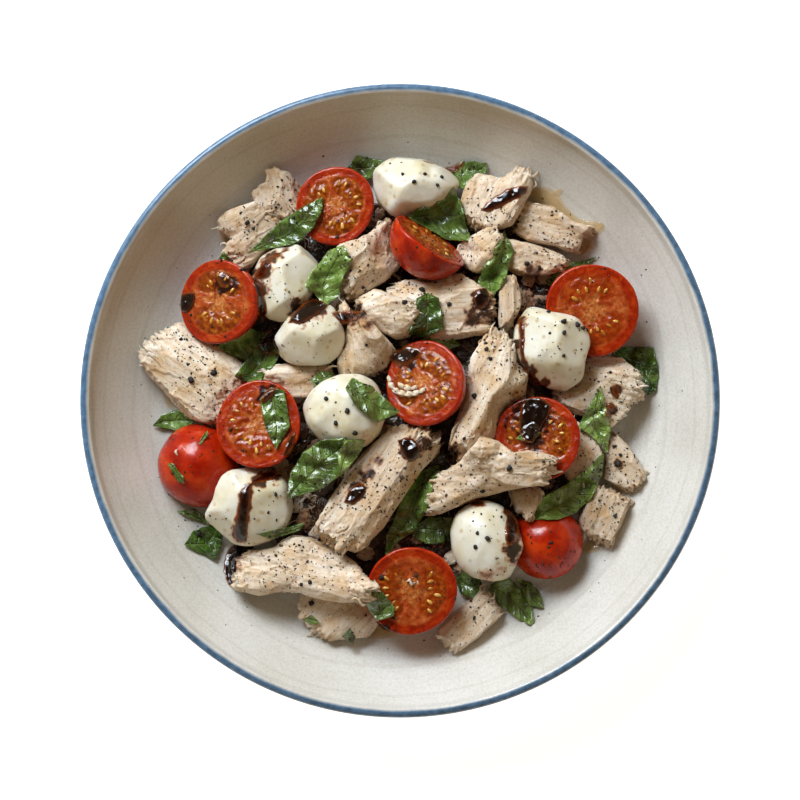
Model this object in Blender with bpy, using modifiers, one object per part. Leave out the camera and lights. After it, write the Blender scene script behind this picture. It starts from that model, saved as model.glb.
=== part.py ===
"""Chicken caprese salad on its coupe plate, one solid for each piece. Metres, +Z up.

The origin is the middle of the plate's foot, on the surface that it stands on. Every table below is
in millimetres. The pieces are put down from the lowest to the highest: tomatoes keep their shape,
while cheese, chicken and leaves give way to what lies under and over them.
"""

import math

import bmesh
import bpy
import numpy as np
from mathutils import Matrix, Vector, noise

MM = 0.001
GAP = 0.35                  # clearance kept between neighbouring pieces

# Plate, a thrown coupe a little out of round
PLATE_RADIUS = 115.0
PLATE_HEIGHT = 35.0
PLATE_OVAL = 0.992          # front-to-back size against side-to-side size
WELL_RADIUS = 84.0
WELL_HEIGHT = 7.5           # upper face of the well above the table
WALL_THICKNESS = 4.6
WALL_POWER = 1.7            # how late the wall turns up
LIP_RADIUS = 1.9
FOOT_OUTER = 60.0
FOOT_WIDTH = 5.0
FOOT_RECESS = 2.6
PLATE_STEPS = 48

# Heap
SPREAD = 1.015              # scale from the tables below to the plate
BED_EDGE = 3.5              # depth of the bed of shreds at its outline
BED_RISE = 9.0              # extra depth in the middle of the bed
BED_REACH = 80.0
BED_FILM = 1.6              # least thickness of the bed under a piece
BED_MARGIN = 3.0
BED_SETTLE = 0.6            # how far the bed lies below the pieces that rest on it
BED_COLUMNS = 40
BED_RINGS = 7
BED_PRESSES = 6             # times that the bed is pressed down
BED_FEEL = 5                # cells round a high spot that are pressed down with it
SINK = 4.0                  # how deep the round pieces press into the bed
THINNEST = 0.9              # least thickness left where a soft piece is squeezed
LEAF_THICKNESS = 0.7
LEAF_DRAPES = 40            # passes that smooth the fall of a leaf over what is under it

# Height maps, one cell a millimetre
MAP_HALF = 118
CLEAR_CELLS = 1             # neighbours are felt this many cells away
EASE_CELLS = 3              # points this near to a clash give way with it
EASE_PASSES = 20
EASE_SLACK = 1.4            # height that easing may leave under a piece
ROOM_CELLS = 2              # a piece ends this far before a place with no room for it
FRINGE = 4.0                # a piece that meets a taller one with less than this of its edge ends there
FRINGE_CLIMB = 5.0          # how much taller that is

BED_OUTLINE = (
    (-30, 72), (-6, 78), (22, 76), (46, 66), (58, 52), (74, 34), (76, 6), (72, -22),
    (64, -42), (42, -56), (14, -70), (-14, -76), (-40, -60), (-58, -42), (-68, -14), (-66, 14),
    (-64, 38), (-50, 62),
)

# x, y, radius of the cut face; tilt and the way it leans, in degrees; rank in the stack
TOMATOES = (
    dict(x=-23.5, y=70, radius=14.4, tilt=7, lean=200, rank=5),
    dict(x=-65.5, y=35, radius=15.6, tilt=24, lean=185, rank=5),
    dict(x=11, y=57.5, radius=14.8, tilt=69, lean=53, rank=7),
    dict(x=69, y=32, radius=16.8, tilt=6, lean=225, rank=4),
    dict(x=8.5, y=5.5, radius=15.4, tilt=24, lean=165, rank=5),
    dict(x=-50.5, y=-9, radius=15.8, tilt=8, lean=150, rank=6),
    dict(x=-73, y=-23.5, radius=15.3, tilt=172, lean=120, rank=4),
    dict(x=4, y=-68.5, radius=16.2, tilt=7, lean=250, rank=5),
    dict(x=53.0, y=-51.6, radius=13.6, tilt=166, lean=330, rank=4),
    dict(x=49, y=-14, radius=15.4, tilt=12, lean=170, rank=4),
)

# outline corners seen from above; height; lift off the bed; rank
MOZZARELLA = (
    dict(corners=((-53, 46), (-46, 54), (-37, 55.5), (-30, 50), (-33, 37), (-39, 30), (-46, 27), (-50, 38)),
         height=21, rank=5),
    dict(corners=((-46, 25), (-39, 33), (-31, 36), (-24, 32), (-20.5, 21), (-25, 14), (-36, 13), (-44, 17)),
         height=20, rank=5.5),
    dict(corners=((-9, 83), (-6, 70), (2, 66), (12, 71), (22, 79), (12, 85), (1, 88)),
         height=20, rank=5),
    dict(corners=((46, 33), (57, 34), (70, 26), (69, 15), (63, 6), (55, 4), (45, 12), (41.5, 20), (43, 28)),
         height=23, rank=6),
    dict(corners=((-34, -3), (-29, 4), (-20, 8), (-10, 6), (-6, -6), (-11, -15), (-20, -18), (-30, -12)),
         height=24, rank=5),
    dict(corners=((-64, -23), (-50, -24), (-42, -29), (-39, -38), (-44, -48), (-57, -52), (-64, -46),
                  (-69.5, -42), (-68, -33)),
         height=22, rank=5),
    dict(corners=((19, -48), (22, -40), (31, -37), (41, -42), (46, -51), (43, -60), (33, -64.5), (22, -60)),
         height=21, rank=6),
)

# outline corners; thickness; rise of the upper face toward a compass angle; rank
CHICKEN = (
    dict(corners=((-56, 76), (-50, 81), (-46, 87), (-40, 81), (-36, 76), (-38, 69), (-45, 67), (-51, 71)),
         thick=9, rank=1),
    dict(corners=((-68, 66), (-61, 73), (-52, 74.5), (-45, 69), (-41, 62), (-50, 54), (-57, 48), (-63, 53),
                  (-60, 60)),
         thick=11, rank=2),
    dict(corners=((-22, 33), (-16, 33), (-9, 30), (-2, 19), (-5, 13), (-13, 8), (-22, 9), (-20.5, 17),
                  (-21, 25)),
         thick=14, rank=3),
    dict(corners=((-26, 55), (-18, 58.5), (-8, 63), (-2, 66), (0, 57), (-1, 48), (-5, 41), (-14, 37),
                  (-20, 39), (-20, 48)),
         thick=13, rank=6),
    dict(corners=((-15, 34), (-6, 39.5), (3, 38), (8, 32), (5, 25), (0, 22), (-6, 25), (-12, 29)),
         thick=12, rank=2),
    dict(corners=((-3, 39), (8, 45), (20, 46), (28, 40), (33, 31), (29, 24), (19, 22), (8, 24), (3, 32)),
         thick=11, rank=1),
    dict(corners=((-94, 15), (-87, 20), (-82, 27), (-72, 25), (-62, 18), (-57, 11), (-60, 0), (-67, -6),
                  (-77, -6), (-84, 3)),
         thick=11, rank=2),
    dict(corners=((-48, 9), (-42, 13), (-34, 13), (-25, 11), (-27, 6), (-33, 1), (-41, 3)),
         thick=8, rank=1),
    dict(corners=((23, 72), (28, 83), (34, 79), (41, 84), (48, 84), (47, 72), (44, 63), (34, 60), (25, 63)),
         thick=13, rank=3),
    dict(corners=((45, 72), (54, 71), (62, 65), (73, 62), (64, 59), (63, 54), (52, 55), (44, 58), (42, 65)),
         thick=10, rank=2),
    dict(corners=((38, 57), (48, 56), (60, 51), (55, 47), (46, 46), (39, 49)),
         thick=9, rank=1),
    dict(corners=((20, 52), (24, 58), (34, 61), (38, 57), (33, 50), (27, 44), (23, 48)),
         thick=13, rank=1),
    dict(corners=((39, 44), (35, 38), (34, 32), (37, 26), (41, 31), (43, 38)),
         thick=10, rank=1),
    dict(corners=((56, 5), (66, 13), (74, 17), (82, 13), (87, 5), (81, -1), (77, -9), (66, -6), (59, -2)),
         thick=10, rank=2),
    dict(corners=((28, 23), (36, 23.5), (41, 13), (46, 5), (42, -7), (36, -12), (27, -18), (19, -18),
                  (22, -5), (25, 8)),
         thick=17, rank=3),
    dict(corners=((30, -10), (36, -14), (43, -19), (52, -18), (57, -26), (46, -32), (34, -35), (22, -38),
                  (10, -41), (15, -29), (22, -18)),
         thick=14, rank=7),
    dict(corners=((-58, -61), (-51, -55), (-43, -50), (-30, -51), (-18, -58), (-8, -67), (-9, -72),
                  (-24, -71), (-38, -68), (-48, -68), (-55, -71)),
         thick=13, rank=5.6),
    dict(corners=((-36, -69), (-34, -76), (-29, -84), (-17, -85), (-8, -83), (-8, -75), (-12, -68),
                  (-24, -66)),
         thick=8, rank=1),
    dict(corners=((-11, -15), (-3, -11), (9, -11), (15, -16), (8, -23), (2, -32), (-6, -43), (-11, -51),
                  (-22, -54), (-30, -51), (-26, -40), (-18, -27)),
         thick=15, rank=7),
    dict(corners=((16, -84), (22, -75), (30, -70), (35, -76), (33, -81), (25, -87), (20, -91)),
         thick=8, rank=2),
    dict(corners=((75, -10), (80, -13), (86, -22), (91, -30), (83, -32), (73, -28), (73, -19)),
         thick=7, rank=2),
    dict(corners=((70, -32), (77, -30), (82, -37), (82, -47), (75, -51), (69, -48), (66, -40)),
         thick=10, rank=2),
    dict(corners=((41, -32), (50, -31), (52, -38), (48, -43), (45, -46), (42, -40)),
         thick=9, rank=4.5),
    dict(corners=((62, -9), (69, -12), (72, -20), (66, -28), (60, -27), (61, -16)),
         thick=9, rank=1),
)

# the four corners of each cut piece of leaf, going round; rank
BASIL = (
    dict(corners=((-55, 52), (-33, 57), (-28, 74), (-43, 66)), rank=9),
    dict(corners=((-29, 54), (-18, 50), (-22, 36), (-34, 39)), rank=9),
    dict(corners=((-60, 28), (-49, 24), (-56, 15), (-66, 19)), rank=9),
    dict(corners=((20, 84.5), (26, 89.5), (32.5, 87.5), (24, 81.5)), rank=0.6),
    dict(corners=((3, 66), (21, 77), (25, 57), (14, 60)), rank=9),
    dict(corners=((36, 62), (41, 56), (34, 37), (28, 41)), rank=9),
    dict(corners=((78, 18), (92, 20), (94, 4), (87, 3)), rank=0.6),
    dict(corners=((7, 38), (14, 37), (16, 23), (4, 23)), rank=9),
    dict(corners=((-17, 9), (1, -6), (-9, -9), (-18, -1)), rank=9),
    dict(corners=((-42, 3), (-39, -9), (-45, -17), (-49, -4)), rank=9),
    dict(corners=((-31, -15), (-12, -14), (-24, -31), (-40, -37)), rank=9),
    dict(corners=((13, -27), (10, -39), (1, -49), (4.5, -34)), rank=3),
    dict(corners=((-75, -47), (-64, -45), (-67, -58), (-78, -53)), rank=0.6),
    dict(corners=((35.5, -73), (41, -68), (53, -74), (49, -82)), rank=0.6),
    dict(corners=((72, 5), (75, -8), (75, -18), (65, -9)), rank=9),
    dict(corners=((74, -19), (67, -38), (47, -43), (56, -31)), rank=9),
)


# ---------------------------------------------------------------- scene and materials

def empty_scene():
    for old in list(bpy.data.objects):
        bpy.data.objects.remove(old, do_unlink=True)


def new_collection(name):
    collection = bpy.data.collections.new(name)
    bpy.context.scene.collection.children.link(collection)
    return collection


def material(name, colour, roughness, subsurface=0.0):
    made = bpy.data.materials.new(name)
    made.use_nodes = True
    shader = made.node_tree.nodes["Principled BSDF"]
    shader.inputs["Base Color"].default_value = (*colour, 1.0)
    shader.inputs["Roughness"].default_value = roughness
    shader.inputs["Metallic"].default_value = 0.0
    shader.inputs["Subsurface Weight"].default_value = subsurface
    return made


# ---------------------------------------------------------------- plate

def well_height(radius):
    """Height of the plate's upper face at a distance from its middle."""
    if radius <= WELL_RADIUS:
        return WELL_HEIGHT
    rise = PLATE_HEIGHT - LIP_RADIUS - WELL_HEIGHT
    reach = PLATE_RADIUS - LIP_RADIUS - WELL_RADIUS
    return WELL_HEIGHT + rise * ((radius - WELL_RADIUS) / reach) ** WALL_POWER


def plate_profile():
    """Half section of the plate, from the middle of the well over the lip to the middle of the foot."""
    points = [(0.0, WELL_HEIGHT), (WELL_RADIUS * 0.5, WELL_HEIGHT), (WELL_RADIUS, WELL_HEIGHT)]
    inner_edge = PLATE_RADIUS - 2.0 * LIP_RADIUS
    for step in range(1, 6):
        radius = WELL_RADIUS + (inner_edge - WELL_RADIUS) * step / 5
        points.append((radius, well_height(radius)))
    lip_centre = PLATE_HEIGHT - LIP_RADIUS
    for turn in (120, 75, 30, -15):
        angle = math.radians(turn)
        points.append((PLATE_RADIUS - LIP_RADIUS + LIP_RADIUS * math.cos(angle),
                       lip_centre + LIP_RADIUS * math.sin(angle)))
    for step in range(4, -1, -1):
        radius = WELL_RADIUS + (inner_edge - WELL_RADIUS) * step / 5
        slope = (well_height(radius + 0.5) - well_height(radius - 0.5)) if step else 0.0
        offset = WALL_THICKNESS / math.hypot(1.0, slope)
        points.append((radius + offset * slope, well_height(radius) - offset))
    foot_inner = FOOT_OUTER - FOOT_WIDTH
    points += [(FOOT_OUTER + 0.8, WELL_HEIGHT - WALL_THICKNESS), (FOOT_OUTER, 0.0), (foot_inner, 0.0),
               (foot_inner - 0.6, FOOT_RECESS), (0.0, FOOT_RECESS)]
    return points


def make_plate(collection):
    mesh = bpy.data.meshes.new("plate")
    outline = bmesh.new()
    corners = [outline.verts.new((radius * MM, 0.0, height * MM)) for radius, height in plate_profile()]
    for one, other in zip(corners, corners[1:]):
        outline.edges.new((one, other))
    outline.to_mesh(mesh)
    outline.free()
    plate = bpy.data.objects.new("plate", mesh)
    collection.objects.link(plate)
    screw = plate.modifiers.new("thrown", "SCREW")
    screw.axis = "Z"
    screw.angle = math.tau
    screw.steps = PLATE_STEPS
    screw.render_steps = PLATE_STEPS
    screw.use_merge_vertices = True
    screw.merge_threshold = 0.0001
    screw.use_smooth_shade = True
    plate.scale = (1.0, PLATE_OVAL, 1.0)
    plate.data.materials.append(material("stoneware_glaze", (0.78, 0.74, 0.66), 0.28))
    return plate


# ---------------------------------------------------------------- height maps

AXIS = np.arange(-MAP_HALF, MAP_HALF + 1.0)
MAP_X, MAP_Y = np.meshgrid(AXIS, AXIS, indexing="ij")


def cell(x, y):
    """Nearest cell of the maps to a point on the plate."""
    column = min(max(int(round(x + MAP_HALF)), 0), len(AXIS) - 1)
    row = min(max(int(round(y + MAP_HALF)), 0), len(AXIS) - 1)
    return column, row


def plate_map():
    radii = np.hypot(MAP_X, MAP_Y / PLATE_OVAL)
    return np.vectorize(well_height)(np.minimum(radii, PLATE_RADIUS))


def bed_map():
    """Top of the bed of shreds before the pieces press into it."""
    share = np.clip(np.hypot(MAP_X, MAP_Y) / BED_REACH, 0.0, 1.0)
    return plate_map() + BED_EDGE * (share < 1.0) + BED_RISE * (1.0 - share ** 2)


def spread_map(heights, cells, choose):
    """Highest (or lowest) value within so many cells of each cell."""
    result = heights.copy()
    for across in range(-cells, cells + 1):
        for along in range(-cells, cells + 1):
            if across * across + along * along <= cells * cells + 1:
                result = choose(result, np.roll(heights, (across, along), (0, 1)))
    return result


def drape(need, inside, passes):
    """Smooth cover over the heights that a piece has to give way by, felt only inside its outline."""
    need = np.where(inside, np.maximum(need, 0.0), 0.0)
    weight = inside.astype(float)
    cover = need
    for _ in range(passes):
        total = sum(np.roll(cover, shift, (0, 1)) for shift in ((1, 0), (-1, 0), (0, 1), (0, -1)))
        count = sum(np.roll(weight, shift, (0, 1)) for shift in ((1, 0), (-1, 0), (0, 1), (0, -1)))
        cover = np.maximum(need, weight * total / np.maximum(count, 1.0))
    return cover


def outline_mask(outline, middle, margin):
    """The cells inside an outline seen from its middle, and so far beyond it."""
    turns = [math.atan2(point.y - middle.y, point.x - middle.x) for point in outline]
    reaches = [(point - middle).length for point in outline]
    angles = np.arctan2(MAP_Y - middle.y, MAP_X - middle.x)
    limit = np.interp(angles, *zip(*sorted(zip(turns, reaches))), period=math.tau)
    return np.hypot(MAP_X - middle.x, MAP_Y - middle.y) < limit + margin


def shadow_maps(bm):
    """Top and underside of a piece over every cell that it covers."""
    top = np.full(MAP_X.shape, -np.inf)
    under = np.full(MAP_X.shape, np.inf)
    for a, b, c in (loop_triangle for loop_triangle in bm.calc_loop_triangles()):
        points = [loop.vert.co for loop in (a, b, c)]
        low = cell(min(p.x for p in points), min(p.y for p in points))
        high = cell(max(p.x for p in points), max(p.y for p in points))
        window = (slice(low[0], high[0] + 1), slice(low[1], high[1] + 1))
        area = ((points[1].x - points[0].x) * (points[2].y - points[0].y)
                - (points[2].x - points[0].x) * (points[1].y - points[0].y))
        if abs(area) < 1e-6:
            continue
        dx = MAP_X[window] - points[0].x
        dy = MAP_Y[window] - points[0].y
        second = (dx * (points[2].y - points[0].y) - (points[2].x - points[0].x) * dy) / area
        third = ((points[1].x - points[0].x) * dy - dx * (points[1].y - points[0].y)) / area
        height = (points[0].z + second * (points[1].z - points[0].z)
                  + third * (points[2].z - points[0].z))
        inside = (second >= -0.15) & (third >= -0.15) & (second + third <= 1.15)
        top[window] = np.where(inside, np.maximum(top[window], height), top[window])
        under[window] = np.where(inside, np.minimum(under[window], height), under[window])
    return top, under


class Heap:
    """The pieces already put down, each with its rank and its height maps."""

    def __init__(self):
        self.plate = plate_map()
        self.bed = bed_map()
        bed_outline = rounded_outline(BED_OUTLINE, BED_COLUMNS)
        self.film = self.plate + BED_FILM * outline_mask(bed_outline, Vector((0.0, 0.0)), BED_MARGIN)
        self.pieces = []

    def floor(self, rank):
        """What a piece of this rank lies on, apart from the soft bed."""
        height = self.film.copy()
        for other_rank, top, _ in self.pieces:
            if other_rank < rank:
                height = np.maximum(height, top)
        return height

    def ceiling(self, rank):
        """What lies on a piece of this rank."""
        height = np.full(MAP_X.shape, np.inf)
        for other_rank, _, under in self.pieces:
            if other_rank > rank:
                height = np.minimum(height, under)
        return height

    def add(self, bm, rank):
        top, under = shadow_maps(bm)
        self.pieces.append((rank, spread_map(top, CLEAR_CELLS, np.maximum),
                            spread_map(under, CLEAR_CELLS, np.minimum)))


def ease(bm, floor, ceiling, upper, lift, depth):
    """Raises the lower points of a soft piece off what is under it, its upper points by a share of that,
    and presses the upper points down under what is on it."""
    highest = spread_map(floor, 2 * EASE_CELLS, np.maximum) + GAP + EASE_SLACK
    start = {vert: vert.co.z for vert in bm.verts}
    for _ in range(EASE_PASSES):
        top, under = shadow_maps(bm)
        covered = np.isfinite(top)
        sunk = np.where(covered, floor + GAP - np.where(covered, under, 0.0), 0.0)
        sunk = spread_map(np.maximum(sunk, 0.0), EASE_CELLS, np.maximum)
        proud = np.where(covered, np.where(covered, top, 0.0) + GAP - ceiling, 0.0)
        proud = spread_map(np.maximum(proud, 0.0), EASE_CELLS, np.maximum)
        if sunk.max() + proud.max() < 0.01:
            break
        for vert in bm.verts:
            where = cell(vert.co.x, vert.co.y)
            if vert in upper:
                raised = min(vert.co.z + lift * sunk[where], max(start[vert], highest[where] + depth))
                lowered = min(raised - proud[where], ceiling[where] - GAP)
                vert.co.z = max(lowered, floor[where] + GAP + THINNEST)
            else:
                raised = min(vert.co.z + sunk[where], max(start[vert], highest[where]))
                vert.co.z = min(raised, ceiling[where] - GAP - THINNEST)


def free_reach(middle, edge, floor, ceiling, top):
    """How far a piece can spread from its middle toward an edge point: to where there is no room for it, or
    to a taller neighbour that only its edge would meet."""
    length = (edge - middle).length
    steps = max(int(length), 1)
    for step in range(1, steps + 1):
        place = middle.lerp(edge, step / steps)
        where = cell(place.x, place.y)
        left = length * (1.0 - (step - 1) / steps)
        if left < FRINGE and floor[where] > top + FRINGE_CLIMB:
            return max((step - 1.0) / steps, 0.25)
        if ceiling[where] - floor[where] < 2.0 * GAP + 2.0 * THINNEST:
            return max((step - 1.0) / steps, 0.25)
    return 1.0


# ---------------------------------------------------------------- outlines

def rounded_outline(corners, count):
    """A closed smooth curve through the corners, read at evenly spaced points."""
    places = [Vector(corner) * SPREAD for corner in corners]
    fine = []
    for index in range(len(places)):
        before, start, end, after = (places[(index + k) % len(places)] for k in (-1, 0, 1, 2))
        for step in range(8):
            t = step / 8
            fine.append(0.5 * (2 * start + (end - before) * t
                               + (2 * before - 5 * start + 4 * end - after) * t * t
                               + (3 * start - before - 3 * end + after) * t ** 3))
    lengths = [0.0]
    for one, other in zip(fine, fine[1:] + fine[:1]):
        lengths.append(lengths[-1] + (other - one).length)
    fine.append(fine[0])
    even = []
    for index in range(count):
        wanted = lengths[-1] * index / count
        span = next(k for k in range(len(fine) - 1) if lengths[k + 1] >= wanted)
        share = (wanted - lengths[span]) / max(lengths[span + 1] - lengths[span], 1e-9)
        even.append(fine[span].lerp(fine[span + 1], share))
    signed = sum(a.x * b.y - b.x * a.y for a, b in zip(even, even[1:] + even[:1]))
    return even if signed > 0 else even[::-1]


# ---------------------------------------------------------------- pieces

def finished(bm, name, collection, look, smooth=True):
    """Turns a mesh in millimetres into an object in metres."""
    bmesh.ops.scale(bm, vec=(MM, MM, MM), verts=bm.verts)
    bmesh.ops.recalc_face_normals(bm, faces=bm.faces)
    if bm.calc_volume(signed=True) < 0.0:
        bmesh.ops.reverse_faces(bm, faces=bm.faces)
    mesh = bpy.data.meshes.new(name)
    bm.to_mesh(mesh)
    bm.free()
    if smooth:
        mesh.shade_smooth()
        mesh.set_sharp_from_angle(angle=math.radians(50))
    made = bpy.data.objects.new(name, mesh)
    made.data.materials.append(look)
    collection.objects.link(made)
    return made


def make_tomato(heap, name, collection, look, x, y, radius, tilt, lean, rank):
    """Half a cherry tomato: a bowl of skin and flesh with a slightly sunken pulp inside a raised wall."""
    bm = bmesh.new()
    bmesh.ops.create_uvsphere(bm, u_segments=14, v_segments=8, radius=radius)
    bmesh.ops.bisect_plane(bm, geom=bm.verts[:] + bm.edges[:] + bm.faces[:], dist=1e-4,
                           plane_co=(0, 0, 0), plane_no=(0, 0, 1), clear_outer=True)
    rim = [edge for edge in bm.edges if edge.is_boundary]
    cut = bmesh.ops.contextual_create(bm, geom=rim)["faces"]
    bmesh.ops.inset_region(bm, faces=cut, thickness=0.19 * radius, depth=-0.5)
    bmesh.ops.poke(bm, faces=[face for face in cut if face.is_valid])
    turn = (Matrix.Rotation(math.radians(lean), 4, "Z") @ Matrix.Rotation(math.radians(tilt), 4, "Y")
            @ Matrix.Rotation(math.radians(-lean), 4, "Z"))
    bmesh.ops.transform(bm, matrix=turn, verts=bm.verts)
    bmesh.ops.translate(bm, vec=(x * SPREAD, y * SPREAD, 0.0), verts=bm.verts)
    _, under = shadow_maps(bm)
    covered = np.isfinite(under)
    rest = (heap.bed - SINK - under)[covered].max()
    rest = min(rest, (heap.bed[cell(x * SPREAD, y * SPREAD)] - SINK) - under[covered].min())
    clear = (heap.film + GAP - under)[covered].max()
    for other_rank, other_top, _ in heap.pieces:
        if other_rank < rank:
            clear = max(clear, (other_top + GAP - under)[covered].max())
    bmesh.ops.translate(bm, vec=(0.0, 0.0, max(rest, clear)), verts=bm.verts)
    heap.add(bm, rank)
    return finished(bm, name, collection, look)


def make_lump(heap, name, collection, look, corners, height, rank, columns, rows, roundness, sink, lift,
              drapes, seed):
    """A soft lump with a rounded outline, squeezed between what is under it and what is on it."""
    outline = rounded_outline(corners, columns)
    middle = sum(outline, Vector((0.0, 0.0))) / columns
    floor = heap.floor(rank)
    ceiling = heap.ceiling(rank)
    tight_floor = spread_map(floor, ROOM_CELLS, np.maximum)
    tight_ceiling = spread_map(ceiling, ROOM_CELLS, np.minimum)
    base = heap.bed[cell(*middle)] - sink
    outline = [middle.lerp(edge, free_reach(middle, edge, tight_floor, tight_ceiling, base))
               for edge in outline]
    inside = outline_mask(outline, middle, 1.0)
    raised = drape(floor + GAP - base, inside, drapes)
    pressed = drape(base + height + lift * raised + GAP - ceiling, inside, drapes)
    widest = math.sin(math.pi * (rows // 2) / rows)
    upper = set()
    bm = bmesh.new()
    bmesh.ops.create_uvsphere(bm, u_segments=columns, v_segments=rows, radius=1.0)
    for vert in bm.verts:
        turn = math.atan2(vert.co.y, vert.co.x) / math.tau
        edge = outline[round(turn * columns) % columns]
        reach = min(math.hypot(vert.co.x, vert.co.y) / widest, 1.0)
        place = middle.lerp(edge, reach)
        share = 0.5 + 0.5 * math.copysign(abs(vert.co.z) ** roundness, vert.co.z)
        where = cell(place.x, place.y)
        swell = 1.0 + 0.12 * noise.noise(Vector((place.x / 7.0, place.y / 7.0, seed)))
        low = base + raised[where]
        high = min(base + height * swell + lift * raised[where] - pressed[where], ceiling[where] - GAP)
        if high < low + THINNEST:
            low = max(high - THINNEST, heap.plate[where] + GAP)
            high = max(high, low + 0.5 * THINNEST)
        vert.co = (place.x, place.y, low + (high - low) * share)
        if share > 0.5:
            upper.add(vert)
    ease(bm, floor, ceiling, upper, lift, lift * height)
    heap.add(bm, rank)
    return finished(bm, name, collection, look)


def make_leaf(heap, name, collection, look, corners, rank):
    """A cut piece of basil, a thin sheet laid over what is under it."""
    first, second, third, fourth = (Vector(corner) * SPREAD for corner in corners)
    corners = (first, second, third, fourth)
    middle = (first + second + third + fourth) / 4
    floor = spread_map(np.maximum(heap.floor(rank), heap.bed), CLEAR_CELLS, np.maximum)
    ceiling = spread_map(heap.ceiling(rank), CLEAR_CELLS, np.minimum)
    inside = outline_mask([one.lerp(other, k / 4) for one, other in zip(corners, corners[1:] + corners[:1])
                           for k in range(4)], middle, 1.5)
    lowest = floor[inside].min()
    covered = lowest + drape(floor - lowest, inside, LEAF_DRAPES)
    bm = bmesh.new()
    bmesh.ops.create_grid(bm, x_segments=4, y_segments=3, size=1.0)
    for vert in bm.verts:
        across = (vert.co.x + 1.0) / 2
        along = (vert.co.y + 1.0) / 2
        place = first.lerp(second, across).lerp(fourth.lerp(third, across), along)
        where = cell(place.x, place.y)
        height = min(covered[where] + GAP, ceiling[where] - GAP - LEAF_THICKNESS)
        vert.co = (place.x, place.y, height)
    raised = bmesh.ops.extrude_face_region(bm, geom=bm.faces[:])["geom"]
    upper = [item for item in raised if isinstance(item, bmesh.types.BMVert)]
    bmesh.ops.translate(bm, vec=(0.0, 0.0, LEAF_THICKNESS), verts=upper)
    ease(bm, floor, ceiling, set(upper), 1.0, LEAF_THICKNESS)
    above = {(round(vert.co.x, 3), round(vert.co.y, 3)): vert.co.z for vert in upper}
    for vert in set(bm.verts) - set(upper):
        vert.co.z = min(vert.co.z, above[round(vert.co.x, 3), round(vert.co.y, 3)] - LEAF_THICKNESS)
    heap.add(bm, rank)
    return finished(bm, name, collection, look)


def make_bed(heap, collection, look):
    """The bed of shreds, chopped leaf and dressing, pressed down by everything on it."""
    outline = rounded_outline(BED_OUTLINE, BED_COLUMNS)
    ceiling = heap.ceiling(0)
    bm = bmesh.new()
    bmesh.ops.create_uvsphere(bm, u_segments=BED_COLUMNS, v_segments=2 * BED_RINGS, radius=1.0)
    upper = []
    for vert in bm.verts:
        edge = outline[round(math.atan2(vert.co.y, vert.co.x) / math.tau * BED_COLUMNS) % BED_COLUMNS]
        share = math.acos(min(abs(vert.co.z), 1.0)) / (math.pi / 2)
        place = edge * share
        low = heap.plate[cell(place.x, place.y)] + GAP
        if vert.co.z > -1e-6:
            upper.append(vert)
            low = max(heap.bed[cell(place.x, place.y)] - BED_SETTLE, low + THINNEST)
        vert.co = (place.x, place.y, low)
    for _ in range(BED_PRESSES):
        top, _ = shadow_maps(bm)
        proud = spread_map(np.where(np.isfinite(top), top - ceiling + GAP, 0.0), BED_FEEL, np.maximum)
        for vert in upper:
            where = cell(vert.co.x, vert.co.y)
            lowest = heap.plate[where] + GAP + 0.5 * THINNEST
            vert.co.z = max(vert.co.z - max(proud[where], 0.0), lowest)
    return finished(bm, "salad_bed", collection, look)


def main():
    empty_scene()
    collection = new_collection("caprese_salad_plate")
    make_plate(collection)
    heap = Heap()

    tomato_look = material("cherry_tomato", (0.55, 0.05, 0.02), 0.2, 0.1)
    for number, tomato in enumerate(TOMATOES, 1):
        make_tomato(heap, f"tomato_{number:02d}", collection, tomato_look, **tomato)

    cheese_look = material("fresh_mozzarella", (0.86, 0.83, 0.72), 0.35, 0.2)
    for number, cheese in enumerate(MOZZARELLA, 1):
        make_lump(heap, f"mozzarella_{number:02d}", collection, cheese_look, columns=14, rows=7,
                  roundness=0.9, sink=SINK, lift=0.1, drapes=10, seed=number, **cheese)

    chicken_look = material("poached_chicken", (0.72, 0.55, 0.42), 0.5, 0.1)
    lowest_first = sorted(range(len(CHICKEN)), key=lambda index: CHICKEN[index]["rank"])
    for index in lowest_first:
        chunk = CHICKEN[index]
        make_lump(heap, f"chicken_{index + 1:02d}", collection, chicken_look, chunk["corners"],
                  chunk["thick"], chunk["rank"] + index * 0.001, columns=16, rows=5, roundness=0.6,
                  sink=1.0, lift=0.7, drapes=60, seed=20 + index)

    leaf_look = material("basil_leaf", (0.08, 0.2, 0.03), 0.35)
    for number, leaf in enumerate(BASIL, 1):
        make_leaf(heap, f"basil_{number:02d}", collection, leaf_look, **leaf)

    bed_look = material("dressed_shreds", (0.12, 0.06, 0.03), 0.4)
    make_bed(heap, collection, bed_look)


main()
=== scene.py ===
import math
import random

import bmesh
import bpy
from mathutils import Matrix, Vector, noise
from mathutils.bvhtree import BVHTree


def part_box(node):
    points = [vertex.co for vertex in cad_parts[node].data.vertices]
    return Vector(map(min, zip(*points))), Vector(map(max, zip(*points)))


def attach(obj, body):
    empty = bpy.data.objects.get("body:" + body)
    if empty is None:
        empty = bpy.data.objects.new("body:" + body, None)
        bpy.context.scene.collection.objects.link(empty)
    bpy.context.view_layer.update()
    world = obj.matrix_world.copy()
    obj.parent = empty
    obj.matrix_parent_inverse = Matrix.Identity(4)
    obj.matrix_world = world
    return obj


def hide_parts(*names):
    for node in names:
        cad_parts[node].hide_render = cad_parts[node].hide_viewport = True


# Chicken caprese salad on its stoneware plate. The layout lists below are in plan millimetres, and
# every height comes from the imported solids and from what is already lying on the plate.

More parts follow.
